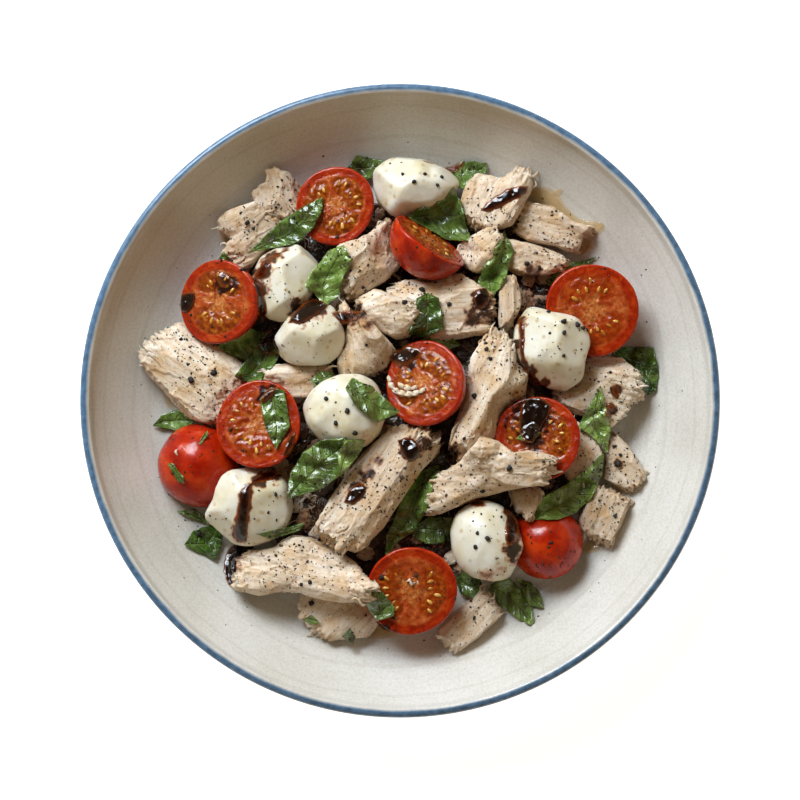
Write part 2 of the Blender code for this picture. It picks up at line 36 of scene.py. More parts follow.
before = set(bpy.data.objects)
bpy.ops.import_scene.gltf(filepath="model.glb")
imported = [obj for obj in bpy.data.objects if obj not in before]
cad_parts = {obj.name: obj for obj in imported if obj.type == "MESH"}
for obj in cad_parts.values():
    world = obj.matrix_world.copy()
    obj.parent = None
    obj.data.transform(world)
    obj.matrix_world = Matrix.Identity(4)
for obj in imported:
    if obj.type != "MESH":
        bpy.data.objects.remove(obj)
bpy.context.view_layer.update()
mm = 0.001
planScale = 1.015 * mm      # plan millimetres to metres on the plate
up = Vector((0.0, 0.0, 1.0))
dice = random.Random(11)
scene = bpy.context.scene


# shared small tools

def linear(code):
    parts = [int(code[i:i + 2], 16) / 255 for i in (1, 3, 5)]
    return [c / 12.92 if c <= 0.04045 else ((c + 0.055) / 1.055) ** 2.4 for c in parts] + [1.0]


def setUp(tree, node, settings):
    # sets sockets and properties; a value that is a node or a socket is linked
    for key, value in settings.items():
        if hasattr(value, "outputs") or isinstance(value, bpy.types.NodeSocket):
            tree.links.new(value.outputs[0] if hasattr(value, "outputs") else value, node.inputs[key])
        elif key == "stops":
            ramp = node.color_ramp
            while len(ramp.elements) > 1:
                ramp.elements.remove(ramp.elements[-1])
            for number, (place, colour) in enumerate(value):
                stop = ramp.elements.new(place) if number else ramp.elements[0]
                stop.position = place
                stop.color = linear(colour) if isinstance(colour, str) else (colour, colour, colour, 1.0)
        elif isinstance(key, int) or key in node.inputs:
            node.inputs[key].default_value = linear(value) if isinstance(value, str) else value
        else:
            setattr(node, key, value)
    return node


def addNode(tree, kind, settings=None):
    return setUp(tree, tree.nodes.new("ShaderNode" + kind), settings or {})


def layerOf(tree, name, output="Fac"):
    return addNode(tree, "Attribute", {"attribute_name": name}).outputs[output]


def placeOf(tree):
    return addNode(tree, "TexCoord").outputs["Object"]


def noiseOf(tree, place, scale, detail, roughness=0.5):
    return addNode(tree, "TexNoise", {"Vector": place, "Scale": scale, "Detail": detail,
            "Roughness": roughness})


def spotsOf(tree, place, scale):
    return addNode(tree, "TexVoronoi", {"Vector": place, "Scale": scale})


def rampOf(tree, source, *stops):
    return addNode(tree, "ValToRGB", {"Fac": source, "stops": stops})


def mixOf(tree, share, one, other, way="MIX"):
    return addNode(tree, "MixRGB", {"blend_type": way, "Fac": share, "Color1": one, "Color2": other})


def mathOf(tree, way, *values, clamp=False):
    return addNode(tree, "Math", {"operation": way, "use_clamp": clamp, **dict(enumerate(values))})


def rangeOf(tree, source, low, high, toLow=0.0, toHigh=1.0):
    return addNode(tree, "MapRange", {"Value": source, "From Min": low, "From Max": high, "To Min": toLow,
            "To Max": toHigh})


def newLook(name):
    look = bpy.data.materials.new(name)
    look.use_nodes = True
    return look, look.node_tree, look.node_tree.nodes["Principled BSDF"]


def smoothStep(low, high, value):
    share = min(max((value - low) / (high - low), 0.0), 1.0)
    return share * share * (3 - 2 * share)


def seedVector(number):
    return Vector((number * 17.3 + 4.1, number * 5.7 - 8.2, number * 11.9 + 2.6))


def copyOf(node):
    bm = bmesh.new()
    bm.from_mesh(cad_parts[node].data)
    bmesh.ops.remove_doubles(bm, verts=bm.verts, dist=0.00001)
    return bm


def meshOf(bm, name, smooth=False):
    for face in bm.faces if smooth else ():
        face.smooth = True
    mesh = bpy.data.meshes.new(name)
    bm.to_mesh(mesh)
    bm.free()
    return mesh


def pourInto(whole, bm):
    mesh = meshOf(bm, "part")
    whole.from_mesh(mesh)
    bpy.data.meshes.remove(mesh)


def dropMeshes(meshes):
    for mesh in meshes:
        bpy.data.meshes.remove(mesh)


def addPiece(name, bm, look, nodes=()):
    mesh = meshOf(bm, name, True)
    mesh.materials.append(look)
    piece = bpy.data.objects.new(name, mesh)
    scene.collection.objects.link(piece)
    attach(piece, "root")
    if nodes:
        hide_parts(*nodes)


def evenMesh(bm, cellSize, softening, rounding=2, grow=0.0):
    # rounds a faceted solid and gives it an even net of small faces
    mesh = meshOf(bm, "rough")
    rough = bpy.data.objects.new("rough", mesh)
    scene.collection.objects.link(rough)
    if rounding:
        steps = rough.modifiers.new("round", "SUBSURF")
        steps.levels = steps.render_levels = rounding
    net = rough.modifiers.new("net", "REMESH")
    net.mode = "VOXEL"
    net.voxel_size = cellSize * mm
    soft = rough.modifiers.new("soft", "SMOOTH")
    soft.factor = 0.5
    soft.iterations = softening
    done = bpy.data.meshes.new_from_object(rough.evaluated_get(bpy.context.evaluated_depsgraph_get()))
    fresh = bmesh.new()
    fresh.from_mesh(done)
    dropMeshes((mesh, done))
    fresh.normal_update()
    for vert in fresh.verts:
        vert.co += vert.normal * grow * mm
    fresh.normal_update()
    return fresh


def facingTo(turn, rise):
    turn, rise = math.radians(turn), math.radians(rise)
    return Vector((math.cos(turn) * math.cos(rise), math.sin(turn) * math.cos(rise), math.sin(rise)))


def pareFaces(bm, middle, faces, flatness=0.93):
    # takes a lump back to flat faces, as where it was cut or torn; each face has the way it looks, how
    # steep it is and the share of the lump that it keeps
    for turn, rise, share in faces:
        facing = facingTo(turn, rise)
        reach = max((vert.co - middle).dot(facing) for vert in bm.verts) * share
        for vert in bm.verts:
            over = (vert.co - middle).dot(facing) - reach
            if over > 0:
                vert.co -= facing * over * flatness


def soften(bm, passes):
    for _ in range(passes):
        bmesh.ops.smooth_vert(bm, verts=bm.verts, factor=0.5, use_axis_x=True, use_axis_y=True,
                              use_axis_z=True)
    bm.normal_update()


def poseOf(x, y, z, turn, lean=0.0, size=1.0):
    return (Matrix.Translation((x, y, z)) @ Matrix.Rotation(turn, 4, "Z") @ Matrix.Rotation(lean, 4, "Y")
            @ Matrix.Scale(size, 4))


def anyTurn():
    return dice.uniform(0, math.tau)


def addCopy(bm, form, matrix, tone=0.5, stain=0.0):
    # one more copy of a small mesh, with its own tone and its own share of balsamic
    mesh = form.copy()
    mesh.transform(matrix)
    for name, value in (("tone", tone), ("stain", stain)):
        layer = mesh.attributes.get(name) or mesh.attributes.new(name, "FLOAT", "POINT")
        layer.data.foreach_set("value", [value] * len(mesh.vertices))
    bm.from_mesh(mesh)
    bpy.data.meshes.remove(mesh)


ground = []                 # what later pieces can rest on


def addGround(bm, kind):
    places = [vert.co for vert in bm.verts]
    low = [min(place[axis] for place in places) for axis in range(3)]
    high = [max(place[axis] for place in places) for axis in range(3)]
    ground.append((BVHTree.FromBMesh(bm), low, high, kind))


def topAt(x, y, kinds=None):
    # highest point of the heap at a place on the plate: height, normal, kind
    best = (0.0, up, "floor")
    for tree, low, high, kind in ground:
        if low[0] <= x <= high[0] and low[1] <= y <= high[1] and high[2] > best[0]:
            if kinds and kind not in kinds:
                continue
            hit, normal, _, _ = tree.ray_cast(Vector((x, y, 0.3)), -up)
            if hit and hit.z > best[0]:
                best = (hit.z, normal, kind)
    return best


def stainAt(x, y, spots, wobble=0.55):
    # how much balsamic has soaked in at a plan point
    deepest = 0.0
    for spotX, spotY, radius, strength in spots:
        away = math.hypot(x - spotX, y - spotY)
        if away < radius * 1.8:
            away += wobble * radius * (
                noise.noise(Vector((x / 2.6, y / 2.6, radius))) + 0.5 * noise.noise(Vector((x, y, radius)))
            )
            deepest = max(deepest, strength * (1 - smoothStep(0.3 * radius, 1.15 * radius, away)))
    return deepest


def bumpOf(tree, height, strength, distance, normal=None):
    settings = {"Height": height, "Strength": strength, "Distance": distance * mm}
    if normal is not None:
        settings["Normal"] = normal
    return addNode(tree, "Bump", settings)


def soakedColour(tree, dry, stops):
    # from the dry colour through amber to dark brown, the more balsamic has soaked in; on the mozzarella
    # the same channel also carries painted shade on the low parts
    stain = layerOf(tree, "stain")
    place = placeOf(tree)
    rough = noiseOf(tree, place, 420.0, 5.0, 0.6)
    uneven = mathOf(tree, "MULTIPLY_ADD", rough, 0.9, -0.45)
    spread = mathOf(tree, "MULTIPLY_ADD", uneven, 1.0, stain, clamp=True)
    reach = mathOf(tree, "MULTIPLY", spread, rangeOf(tree, stain, 0.02, 0.25), clamp=True)
    tint = rampOf(tree, reach, *stops)
    share = rangeOf(tree, reach, 0.03, 0.6, 0.0, 0.96)
    return mixOf(tree, share, dry, tint)


# plate

plateShape = {
    "radius": 115.0, "height": 35.0, "oval": 0.992, "well": 84.0, "wellHeight": 7.5, "wall": 4.6,
    "power": 1.7, "lip": 1.9, "footRecess": 2.6, "steps": 224,
    "bandInside": 0.9, "bandOutside": 3.0,
}


def wellHeight(radius):
    p = plateShape
    reach = p["radius"] - p["lip"] - p["well"]
    rise = p["height"] - p["lip"] - p["wellHeight"]
    return p["wellHeight"] + rise * (max(radius - p["well"], 0.0) / reach) ** p["power"]


def plateProfile():
    # half section from the middle of the well over the lip to the middle of the foot; each point keeps
    # its distance past the top of the lip, which places the band of blue
    p = plateShape
    inner = [(radius, wellHeight(radius)) for radius in (0, 6, 14, 24, 34, 44, 54, 64, 72, 78, 82)]
    edge = p["radius"] - 2 * p["lip"]
    inner += [(p["well"] + (edge - p["well"]) * step / 30,
               wellHeight(p["well"] + (edge - p["well"]) * step / 30))
              for step in range(31)]
    lip = [(p["radius"] - p["lip"] + p["lip"] * math.cos(math.radians(turn)),
            p["height"] - p["lip"] + p["lip"] * math.sin(math.radians(turn)))
            for turn in range(150, -31, -15)]
    outer = []
    for step in range(23, -1, -1):
        radius = p["well"] + (edge - p["well"]) * step / 24
        slope = wellHeight(radius + 0.5) - wellHeight(radius - 0.5) if step else 0.0
        offset = p["wall"] / math.hypot(1.0, slope)
        outer.append((radius + offset * slope, wellHeight(radius) - offset))
    under = p["wellHeight"] - p["wall"]
    foot = [(72, under), (63, under), (61, 2.5), (60.3, 1.7), (60, 0.7), (59.3, 0), (55.7, 0), (55, 0.7),
            (54.7, 1.7), (54, p["footRecess"]), (40, p["footRecess"]), (20, p["footRecess"]),
            (0, p["footRecess"])]
    points = inner + lip + outer + foot
    top = len(inner) + 4
    run, past = 0.0, [0.0] * len(points)
    for i in range(top + 1, len(points)):
        run += math.dist(points[i], points[i - 1])
        past[i] = run
    run = 0.0
    for i in range(top - 1, -1, -1):
        run += math.dist(points[i], points[i + 1])
        past[i] = -run
    return points, past


def stonewareGlaze():
    # stoneware dipped in a satin-gloss oatmeal glaze: soft reflections, iron specks, faint rings left by
    # the thrower's fingers, and a blue-grey band where the rim glaze broke over the lip
    look, tree, shader = newLook("dippedStonewareGlaze")
    inMm = addNode(tree, "Mapping", {"Scale": (1000, 1000 / plateShape["oval"], 1000),
            "Vector": placeOf(tree)})
    flat = addNode(tree, "VectorMath", {"operation": "MULTIPLY", 1: (1, 1, 0), 0: inMm})
    radius = addNode(tree, "VectorMath", {"operation": "LENGTH", 0: flat}).outputs["Value"]
    clouds = noiseOf(tree, inMm, 0.035, 4.0)
    body = rampOf(tree, clouds, (0.3, "#D2CEC6"), (0.5, "#DAD7D1"), (0.72, "#E0DEDA"))
    wander = noiseOf(tree, inMm, 0.02, 2.0)
    ringPlace = mathOf(tree, "MULTIPLY_ADD", wander, 5.0, radius)
    rings = addNode(tree, "TexNoise", {"noise_dimensions": "1D", "Scale": 0.55, "Detail": 3.0,
            "W": ringPlace})
    ringTone = rampOf(tree, rings, (0.35, "#E4E0D8"), (0.5, "#FFFFFF"), (0.66, "#F5F2EC"))
    ringed = mixOf(tree, 0.32, body, ringTone, "MULTIPLY")
    specks = spotsOf(tree, inMm, 0.34)
    speckSize = rampOf(tree, specks, (0.05, 1.0), (0.12, 0.0))
    speckHere = noiseOf(tree, inMm, 0.2, 2.0)
    speckKeep = rampOf(tree, speckHere, (0.5, 0.0), (0.62, 0.65))
    speckMask = mathOf(tree, "MULTIPLY", speckSize, speckKeep)
    speckled = mixOf(tree, speckMask, ringed, "#8C7B64")
    grains = noiseOf(tree, inMm, 1.1, 2.0)
    grainTone = rampOf(tree, grains, (0.35, "#E9E6DF"), (0.6, "#FFFFFF"))
    grainy = mixOf(tree, 0.55, speckled, grainTone, "MULTIPLY")
    waver = noiseOf(tree, inMm, 0.09, 3.0)
    waved = mathOf(tree, "MULTIPLY_ADD", waver, 1.2, -0.6)
    bandPlace = mathOf(tree, "ADD", layerOf(tree, "past"), waved)
    bandStart = rangeOf(tree, bandPlace, -plateShape["bandInside"] - 0.5, -plateShape["bandInside"] + 0.7)
    bandEnd = rangeOf(tree, bandPlace, plateShape["bandOutside"], plateShape["bandOutside"] + 2.0, 1.0, 0.0)
    band = mathOf(tree, "MULTIPLY", bandStart, bandEnd)
    bandTones = noiseOf(tree, inMm, 0.5, 4.0)
    bandColour = rampOf(tree, bandTones, (0.3, "#3E5870"), (0.5, "#4C6A88"), (0.72, "#5C7C9A"))
    banded = mixOf(tree, band, grainy, bandColour)
    dips = mathOf(tree, "MULTIPLY_ADD", rings, 0.35, grains)
    setUp(tree, shader, {"Roughness": 0.3, "Specular IOR Level": 0.42, "Coat Weight": 0.25,
                         "Coat Roughness": 0.16, "Base Color": banded,
                         "Normal": bumpOf(tree, dips, 0.07, 0.2)})
    return look


def buildPlate():
    points, past = plateProfile()
    bm = bmesh.new()
    pastLayer = bm.verts.layers.float.new("past")
    verts = [bm.verts.new((radius * mm, 0.0, height * mm)) for radius, height in points]
    for vert, value in zip(verts, past):
        vert[pastLayer] = value
    edges = [bm.edges.new(pair) for pair in zip(verts, verts[1:])]
    bmesh.ops.spin(bm, geom=verts + edges, cent=(0, 0, 0), axis=(0, 0, 1), angle=math.tau,
                   steps=plateShape["steps"], use_merge=True)
    bmesh.ops.remove_doubles(bm, verts=bm.verts, dist=0.000005)
    bmesh.ops.scale(bm, vec=(1.0, plateShape["oval"], 1.0), verts=bm.verts)
    bmesh.ops.recalc_face_normals(bm, faces=bm.faces)
    addGround(bm, "plate")
    addPiece("platePiece", bm, stonewareGlaze(), ["plate"])


buildPlate()
print("plate done")


# cherry tomatoes

tomatoShape = {
    "steps": 112, "skinRings": 16, "faceRings": 34, "innerShare": 0.81, "sunk": 0.5, "roundEdge": 0.9,
    "locule": 0.9, "seedLength": 2.6, "seedWidth": 1.3, "seedThick": 0.85,
}
# chambers: where each seed chamber is centred and its half width, in degrees; roll: turn of the half about
# its own axis; gel: how full of gel it looks; seeds: share of the usual seeds
tomatoes = {
    "tomato_01": dict(chambers=((40, 58), (170, 62), (290, 52))),
    "tomato_02": dict(chambers=((270, 75), (80, 70))),
    "tomato_03": dict(roll=20, chambers=((30, 60), (160, 60), (275, 50)), seeds=0.45),
    "tomato_04": dict(chambers=((100, 70), (280, 75)), gel=0.4),
    "tomato_05": dict(chambers=((60, 60), (190, 58), (310, 55))),
    "tomato_06": dict(chambers=((20, 62), (150, 58), (265, 50)), gel=0.45),
    "tomato_07": dict(chambers=((20, 60), (180, 70))),
    "tomato_08": dict(chambers=((0, 66), (180, 70)), gel=0.7),
    "tomato_09": dict(chambers=((20, 60), (180, 70))),
    "tomato_10": dict(chambers=((10, 60), (140, 60), (260, 52))),
}
tomatoStains = (
    (-78, 35, 4.5, 0.7), (-63, 41, 5, 0.9), (3, 15, 5, 0.9), (-2, 16, 3, 0.8), (-47, 2, 4.5, 0.9),
    (-5, -83, 4, 0.9),
    (47, -7, 9, 1.0), (48, -16, 5, 0.6), (-39, -17, 3, 0.6),
)


def cherryTomato():
    # ripe cherry tomato, halved with a knife: a glossy red skin, a wall of wet red-orange flesh, seed
    # chambers full of amber-brown gel, and a paler streaky core
    look, tree, shader = newLook("halvedCherryTomato")
    zones = addNode(tree, "SeparateXYZ", {0: layerOf(tree, "zone", "Vector")})
    local = layerOf(tree, "local", "Vector")
    blotch = noiseOf(tree, local, 0.16, 3.0)
    skin = rampOf(tree, blotch, (0.3, "#8E1404"), (0.5, "#AC2406"), (0.7, "#C43E0E"))
    dots = spotsOf(tree, local, 1.1)
    dotTone = rampOf(tree, dots, (0.02, 1.0), (0.12, 0.0))
    freckled = mixOf(tree, mathOf(tree, "MULTIPLY", dotTone, 0.35), skin, "#D0592A")
    stretch = layerOf(tree, "spoke", "Vector")
    streak = noiseOf(tree, stretch, 1.0, 4.0, 0.65)
    wall = rampOf(tree, streak, (0.3, "#7C1604"), (0.52, "#9E2806"), (0.72, "#B84A16"))
    gel = rampOf(tree, noiseOf(tree, local, 0.5, 3.0), (0.3, "#5C1C02"), (0.5, "#883806"),
                 (0.72, "#B06010"))
    core = rampOf(tree, streak, (0.3, "#8E3A12"), (0.5, "#B0602A"), (0.7, "#D09656"))
    first = mixOf(tree, zones.outputs["Y"], wall, core)
    second = mixOf(tree, zones.outputs["X"], first, gel)
    third = mixOf(tree, zones.outputs["Z"], second, freckled)
    soaked = soakedColour(tree, third, [(0.1, "#7A220A"), (0.5, "#3E1006"), (0.85, "#160503")])
    wet = noiseOf(tree, local, 0.75, 3.0, 0.6)
    fine = mixOf(tree, 0.35, wet, streak)
    flesh = mixOf(tree, zones.outputs["Z"], fine, (0.5, 0.5, 0.5, 1.0))
    roughness = rangeOf(tree, wet, 0.3, 0.7, 0.1, 0.32)
    setUp(tree, shader, {"Subsurface Weight": 0.22, "Subsurface Radius": (1.0, 0.32, 0.14),
                         "Subsurface Scale": 0.0022, "Coat Weight": 0.2, "Coat Roughness": 0.05,
                         "IOR": 1.38, "Specular IOR Level": 0.38, "Base Color": soaked,
                         "Roughness": roughness, "Normal": bumpOf(tree, flesh, 0.65, 0.55)})
    return look


def tomatoSeed():
    # wet tomato seed, golden straw with a brown tip
    look, tree, shader = newLook("wetTomatoSeed")
    tone = layerOf(tree, "tone")
    colour = rampOf(tree, tone, (0.0, "#9A560E"), (0.5, "#C4862A"), (1.0, "#DDAE54"))
    setUp(tree, shader, {"Roughness": 0.22, "Subsurface Weight": 0.2, "Subsurface Radius": (1.0, 0.6, 0.2),
                         "Subsurface Scale": 0.001, "Coat Weight": 0.6, "Coat Roughness": 0.08,
                         "Base Color": colour})
    return look


def cutPlane(bm):
    # the widest flat of the solid is the cut face: its middle, normal and the radius of the half
    widest = max(bm.faces, key=lambda face: face.calc_area())
    flat = [face for face in bm.faces if face.normal.dot(widest.normal) > 0.9999]
    corners = {vert for face in flat for vert in face.verts}
    middle = sum((vert.co for vert in corners), Vector()) / len(corners)
    radius = max((vert.co - middle).length for vert in corners) / tomatoShape["innerShare"]
    return middle + widest.normal * tomatoShape["sunk"] * mm, widest.normal.copy(), radius / mm


def seedForm():
    bm = bmesh.new()
    bmesh.ops.create_uvsphere(bm, u_segments=9, v_segments=6, radius=0.5)
    for vert in bm.verts:
        vert.co.y *= 1.0 - 0.75 * max(-vert.co.x - 0.05, 0.0)
    size = (tomatoShape["seedLength"] * mm, tomatoShape["seedWidth"] * mm, tomatoShape["seedThick"] * mm)
    bmesh.ops.scale(bm, vec=size, verts=bm.verts)
    return meshOf(bm, "seedForm", True)


def buildTomato(name, look, seeds, seedMesh, number):
    spec, t = tomatoes[name], tomatoShape
    rough = copyOf(name)
    middle, axis, radius = cutPlane(rough)
    rough.free()
    bm = bmesh.new()
    zoneLayer = bm.verts.layers.float_vector.new("zone")
    localLayer = bm.verts.layers.float_vector.new("local")
    spokeLayer = bm.verts.layers.float_vector.new("spoke")
    stainLayer = bm.verts.layers.float.new("stain")
    edge = t["roundEdge"]
    profile = [(radius * math.cos(math.radians(turn)), radius * math.sin(math.radians(turn)))
               for turn in [-90 + 86 * step / t["skinRings"] for step in range(t["skinRings"] + 1)]]
    profile += [(radius - edge + edge * math.cos(math.radians(turn)),
                 -edge + edge * math.sin(math.radians(turn)))
                for turn in (15, 40, 65, 90)]
    profile += [((radius - edge) * (1 - step / t["faceRings"]), 0.0)
                for step in range(1, t["faceRings"] + 1)]
    verts = [bm.verts.new((x, 0.0, z)) for x, z in profile]
    edges = [bm.edges.new(pair) for pair in zip(verts, verts[1:])]
    bmesh.ops.spin(bm, geom=verts + edges, cent=(0, 0, 0), axis=(0, 0, 1), angle=math.tau, steps=t["steps"],
                   use_merge=True)
    bmesh.ops.remove_doubles(bm, verts=bm.verts, dist=0.001)
    bmesh.ops.recalc_face_normals(bm, faces=bm.faces)
    shift = seedVector(number)
    chambers = [(math.radians(turn + spec.get("roll", 0)), math.radians(half)) for turn,
                half in spec["chambers"]]

    def faceAt(x, y):
        # height of the cut face, seed chamber share and core share
        away = math.hypot(x, y) / radius
        turn = math.atan2(y, x)
        inside, level = 0.0, 0.0
        waver = 0.16 * noise.noise(Vector((x / 4, y / 4, 0)) + shift)
        for place, half in chambers:
            aside = abs(math.remainder(turn - place, math.tau)) / half
            reach = abs((away - 0.51) / 0.275) ** 2.6 + aside ** 3.2 + waver
            share = 1 - smoothStep(0.6, 1.15, reach)
            if share > inside:
                inside, level = share, math.sqrt(max(1 - reach, 0.0))
        spokes = noise.noise(Vector((2.4 * math.cos(turn), 2.4 * math.sin(turn), number)))
        corePart = 1 - smoothStep(0.12, 0.42, away - 0.3 * spokes + 0.1 * waver)
        wallPart = smoothStep(0.74, 0.82, away)
        flesh = (0.22 * noise.noise(Vector((x / 2.2, y / 2.2, 1)) + shift)
                 + 0.1 * noise.noise(Vector((x / 0.9, y / 0.9, 2)) + shift))
        gel = spec.get("gel", 1.0)
        height = (
            -0.15 * wallPart - (0.4 + 0.6 * gel) * (t["locule"] * inside - 1.15 * inside * level)
            + flesh - 0.25 * corePart
        )
        height += 0.35 * inside * noise.noise(Vector((x / 1.5, y / 1.5, 5)) + shift)
        septum = (1 - inside) * (1 - wallPart) * (1 - corePart)
        return (height, gel * inside * (1 - 0.5 * corePart),
                max(corePart, 0.4 * septum, 0.12 * (1 - gel) * inside))

    turnTo = axis.to_track_quat("Z", "Y").to_matrix().to_4x4()
    # keeps the layout's angles: the half is rolled so that its own X lies along the plate's X
    ownX = turnTo @ Vector((1, 0, 0))
    turnTo = turnTo @ Matrix.Rotation(-math.atan2(ownX.y, ownX.x) * (1 if axis.z > 0 else -1), 4, "Z")
    place = Matrix.Translation(middle) @ turnTo @ Matrix.Scale(mm, 4)
    for vert in bm.verts:
        x, y, z = vert.co
        away, turn = math.hypot(x, y), math.atan2(y, x)
        vert[localLayer] = (x, y, z)
        sway = turn + 0.22 * noise.noise(Vector((x / 2.6, y / 2.6, number)))
        wheel = 3.6 * smoothStep(0.0, 0.3 * radius, away)
        vert[spokeLayer] = (away * 0.34, wheel * math.cos(sway), wheel * math.sin(sway) + number * 9)
        onFace = smoothStep(-0.75, -0.1, z) * smoothStep(radius, radius - 0.8, away)
        height, inside, corePart = faceAt(x, y)
        taper = smoothStep(radius - 0.2, radius - 1.6, away)
        vert[zoneLayer] = (inside * onFace, corePart * onFace, 1 - onFace)
        swell = 1 + 0.022 * math.sin(2 * turn + number) + 0.012 * math.sin(3 * turn + 2 * number)
        dent = 0.25 * noise.noise(Vector((x / 9, y / 9, z / 9)) + shift) if z < -0.5 else 0.0
        vert.co = Vector((x * swell, y * swell, z)) * (1 + dent / radius)
        vert.co.z += height * onFace * taper
    for vert in bm.verts:
        vert.co = place @ vert.co
        if vert.co.z > 0.018:
            vert[stainLayer] = stainAt(vert.co.x / planScale, vert.co.y / planScale, tomatoStains)
    bm.normal_update()
    addGround(bm, "tomato")
    addPiece(name + "_half", bm, look, [name])
    if axis.z < 0:
        return
    for centre, half in chambers:
        count = max(3, round(half * 5.2 * spec.get("seeds", 1.0)))
        for i in range(count):
            turn = centre + half * 0.82 * (2 * (i + 0.5) / count - 1) + dice.uniform(-0.07, 0.07)
            away = radius * dice.choice((dice.uniform(0.42, 0.5), dice.uniform(0.54, 0.63)))
            x, y = away * math.cos(turn), away * math.sin(turn)
            height = faceAt(x, y)[0]
            lean = turn + dice.uniform(-0.35, 0.35)
            pose = Matrix.Translation((x, y, height - 0.02)) @ Matrix.Rotation(lean, 4,
                    "Z") @ Matrix.Rotation(dice.uniform(-0.25, 0.25), 4, "Y")
            pose = place @ pose @ Matrix.Scale(dice.uniform(0.75, 1.15) / mm, 4)
            addCopy(seeds, seedMesh, pose, dice.uniform(0.1, 1.0))


def buildTomatoes():
    look, form, seeds = cherryTomato(), seedForm(), bmesh.new()
    for number, name in enumerate(tomatoes):
        buildTomato(name, look, seeds, form, number)
    addPiece("tomatoSeeds", seeds, tomatoSeed())
    dropMeshes([form])


buildTomatoes()
print("tomatoes done")


# fresh mozzarella

mozzarellaShape = {"cell": 0.7, "soften": 8, "grow": 1.1, "round": 9, "dent": 0.08, "dentSize": 2.4}
# the way the top ridge of each piece runs, how steep the faces beside it are, and how much they take off
mozzarellaFaces = ((100, 55, 0.76), (150, 52, 0.75), (25, 58, 0.79), (80, 56, 0.79), (70, 60, 0.93),
                   (60, 56, 0.82), (110, 58, 0.94))
mozzarellaStains = (
    (-49, 46, 5, 1.0), (-50, 39, 4, 0.8), (-46, 51, 3.5, 0.9), (-41, 54, 2.5, 0.5), (-34, 31, 6, 0.95),
    (-29, 33, 4.5, 0.9),
    (-40, 21, 4, 0.16), (-33, 16, 5, 0.1), (-6, 71, 4, 0.2), (42, 20, 3, 1.0), (43, 28, 3, 0.8),
    (46, 10, 3.5, 0.9), (51, 5, 2.6, 0.8),
    (-45, -27, 3.6, 0.8), (-50, -29, 3.4, 0.85), (-54, -33, 3.2, 0.9), (-54, -38, 2.8, 0.75),
    (-56, -43, 3.2, 0.85), (-57, -48, 4, 0.9),
    (39, -41, 3, 0.7), (42, -47, 4, 0.95), (40, -54, 5, 0.9), (27, -37, 2.6, 0.7), (31, -63, 4, 0.35),
    (36, -61, 3, 0.35),
    (-12, -14, 4, 0.25), (-65, -41, 3, 0.2),
)


def freshMozzarella():
    # fresh cow's milk mozzarella torn from a ball: moist satin curd that lets light in, with soft ridges,
    # brown halos where balsamic and pepper have bled, and painted warm shade in amber on its low parts
    look, tree, shader = newLook("tornFreshMozzarella")
    place = placeOf(tree)
    clouds = noiseOf(tree, place, 110.0, 4.0)
    curd = rampOf(tree, clouds, (0.3, "#D1C6A4"), (0.5, "#DED7C3"), (0.7, "#E6E3D8"))
    halo = spotsOf(tree, place, 260.0)
    haloTone = rampOf(tree, halo, (0.05, 0.75), (0.3, 0.0))
    haloed = mixOf(tree, haloTone, curd, "#B99A5C")
    soaked = soakedColour(tree, haloed, [(0.08, "#E2AC48"), (0.3, "#B8660A"), (0.52, "#602A04"),
            (0.8, "#220B02")])
    fine = noiseOf(tree, place, 620.0, 3.0)
    stain = layerOf(tree, "stain")
    satin = rangeOf(tree, fine, 0.3, 0.7, 0.26, 0.44)
    roughness = mathOf(tree, "MULTIPLY_ADD", stain, -0.25, satin, clamp=True)
    setUp(tree, shader, {"Subsurface Weight": 0.3, "Subsurface Radius": (1.0, 0.8, 0.5),
                         "Subsurface Scale": 0.003, "Coat Weight": 0.2, "Coat Roughness": 0.2, "IOR": 1.4,
                         "Base Color": soaked, "Roughness": roughness,
                         "Normal": bumpOf(tree, fine, 0.25, 0.35)})
    return look


def buildMozzarella():
    look, m = freshMozzarella(), mozzarellaShape
    for number in range(7):
        name = f"mozzarella_{number + 1:02d}"
        bm = evenMesh(copyOf(name), m["cell"], m["soften"], 0, m["grow"])
        stainLayer = bm.verts.layers.float.new("stain")
        shift = seedVector(number + 20)
        turn, steep, keep = mozzarellaFaces[number]
        low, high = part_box(name)
        middle = (low + high) / 2
        faces = [(turn + 90, steep, keep), (turn - 90, steep + 6, keep), (turn + 10, 32, keep + 0.04),
                 (turn + 170, 38, keep + 0.04),
                 (turn + 62, 18, keep + 0.1), (turn - 55, 14, keep + 0.1)]
        pareFaces(bm, middle, faces)
        soften(bm, m["round"])
        for vert in bm.verts:
            place = vert.co / mm
            dent = (m["dent"] * noise.noise(place / m["dentSize"] + shift)
                    + 0.24 * noise.noise(place / 6 + shift))
            vert.co += vert.normal * dent * mm
            stain = stainAt(vert.co.x / planScale, vert.co.y / planScale, mozzarellaStains)
            # painted shade: below 17 mm the piece gets up to 0.35 of the balsamic stain, so its low parts
            # turn amber and darker as if in warm shade
            low = smoothStep(0.017, 0.01, vert.co.z) * 0.35
            vert[stainLayer] = max(stain, low * (0.6 + 0.6 * noise.noise(place / 3 + shift)))
        bmesh.ops.smooth_vert(bm, verts=bm.verts, factor=0.5, use_axis_x=True, use_axis_y=True,
                              use_axis_z=True)
        bm.normal_update()
        addGround(bm, "mozzarella")
        addPiece(name + "_torn", bm, look, [name])


buildMozzarella()
print("mozzarella done")


# poached chicken

chickenShape = {"cell": 0.5, "soften": 2, "grow": 1.2, "strandLong": 16.0, "strandWide": 1.7,
                "strand": 0.12, "step": 0.1,
                "layerLong": 13.0, "layerWide": 5.5, "layer": 0.42, "bundle": 0.36, "crumble": 1.05,
                "ragged": 2.6,
                "shredsEach": 6, "scraps": 120}
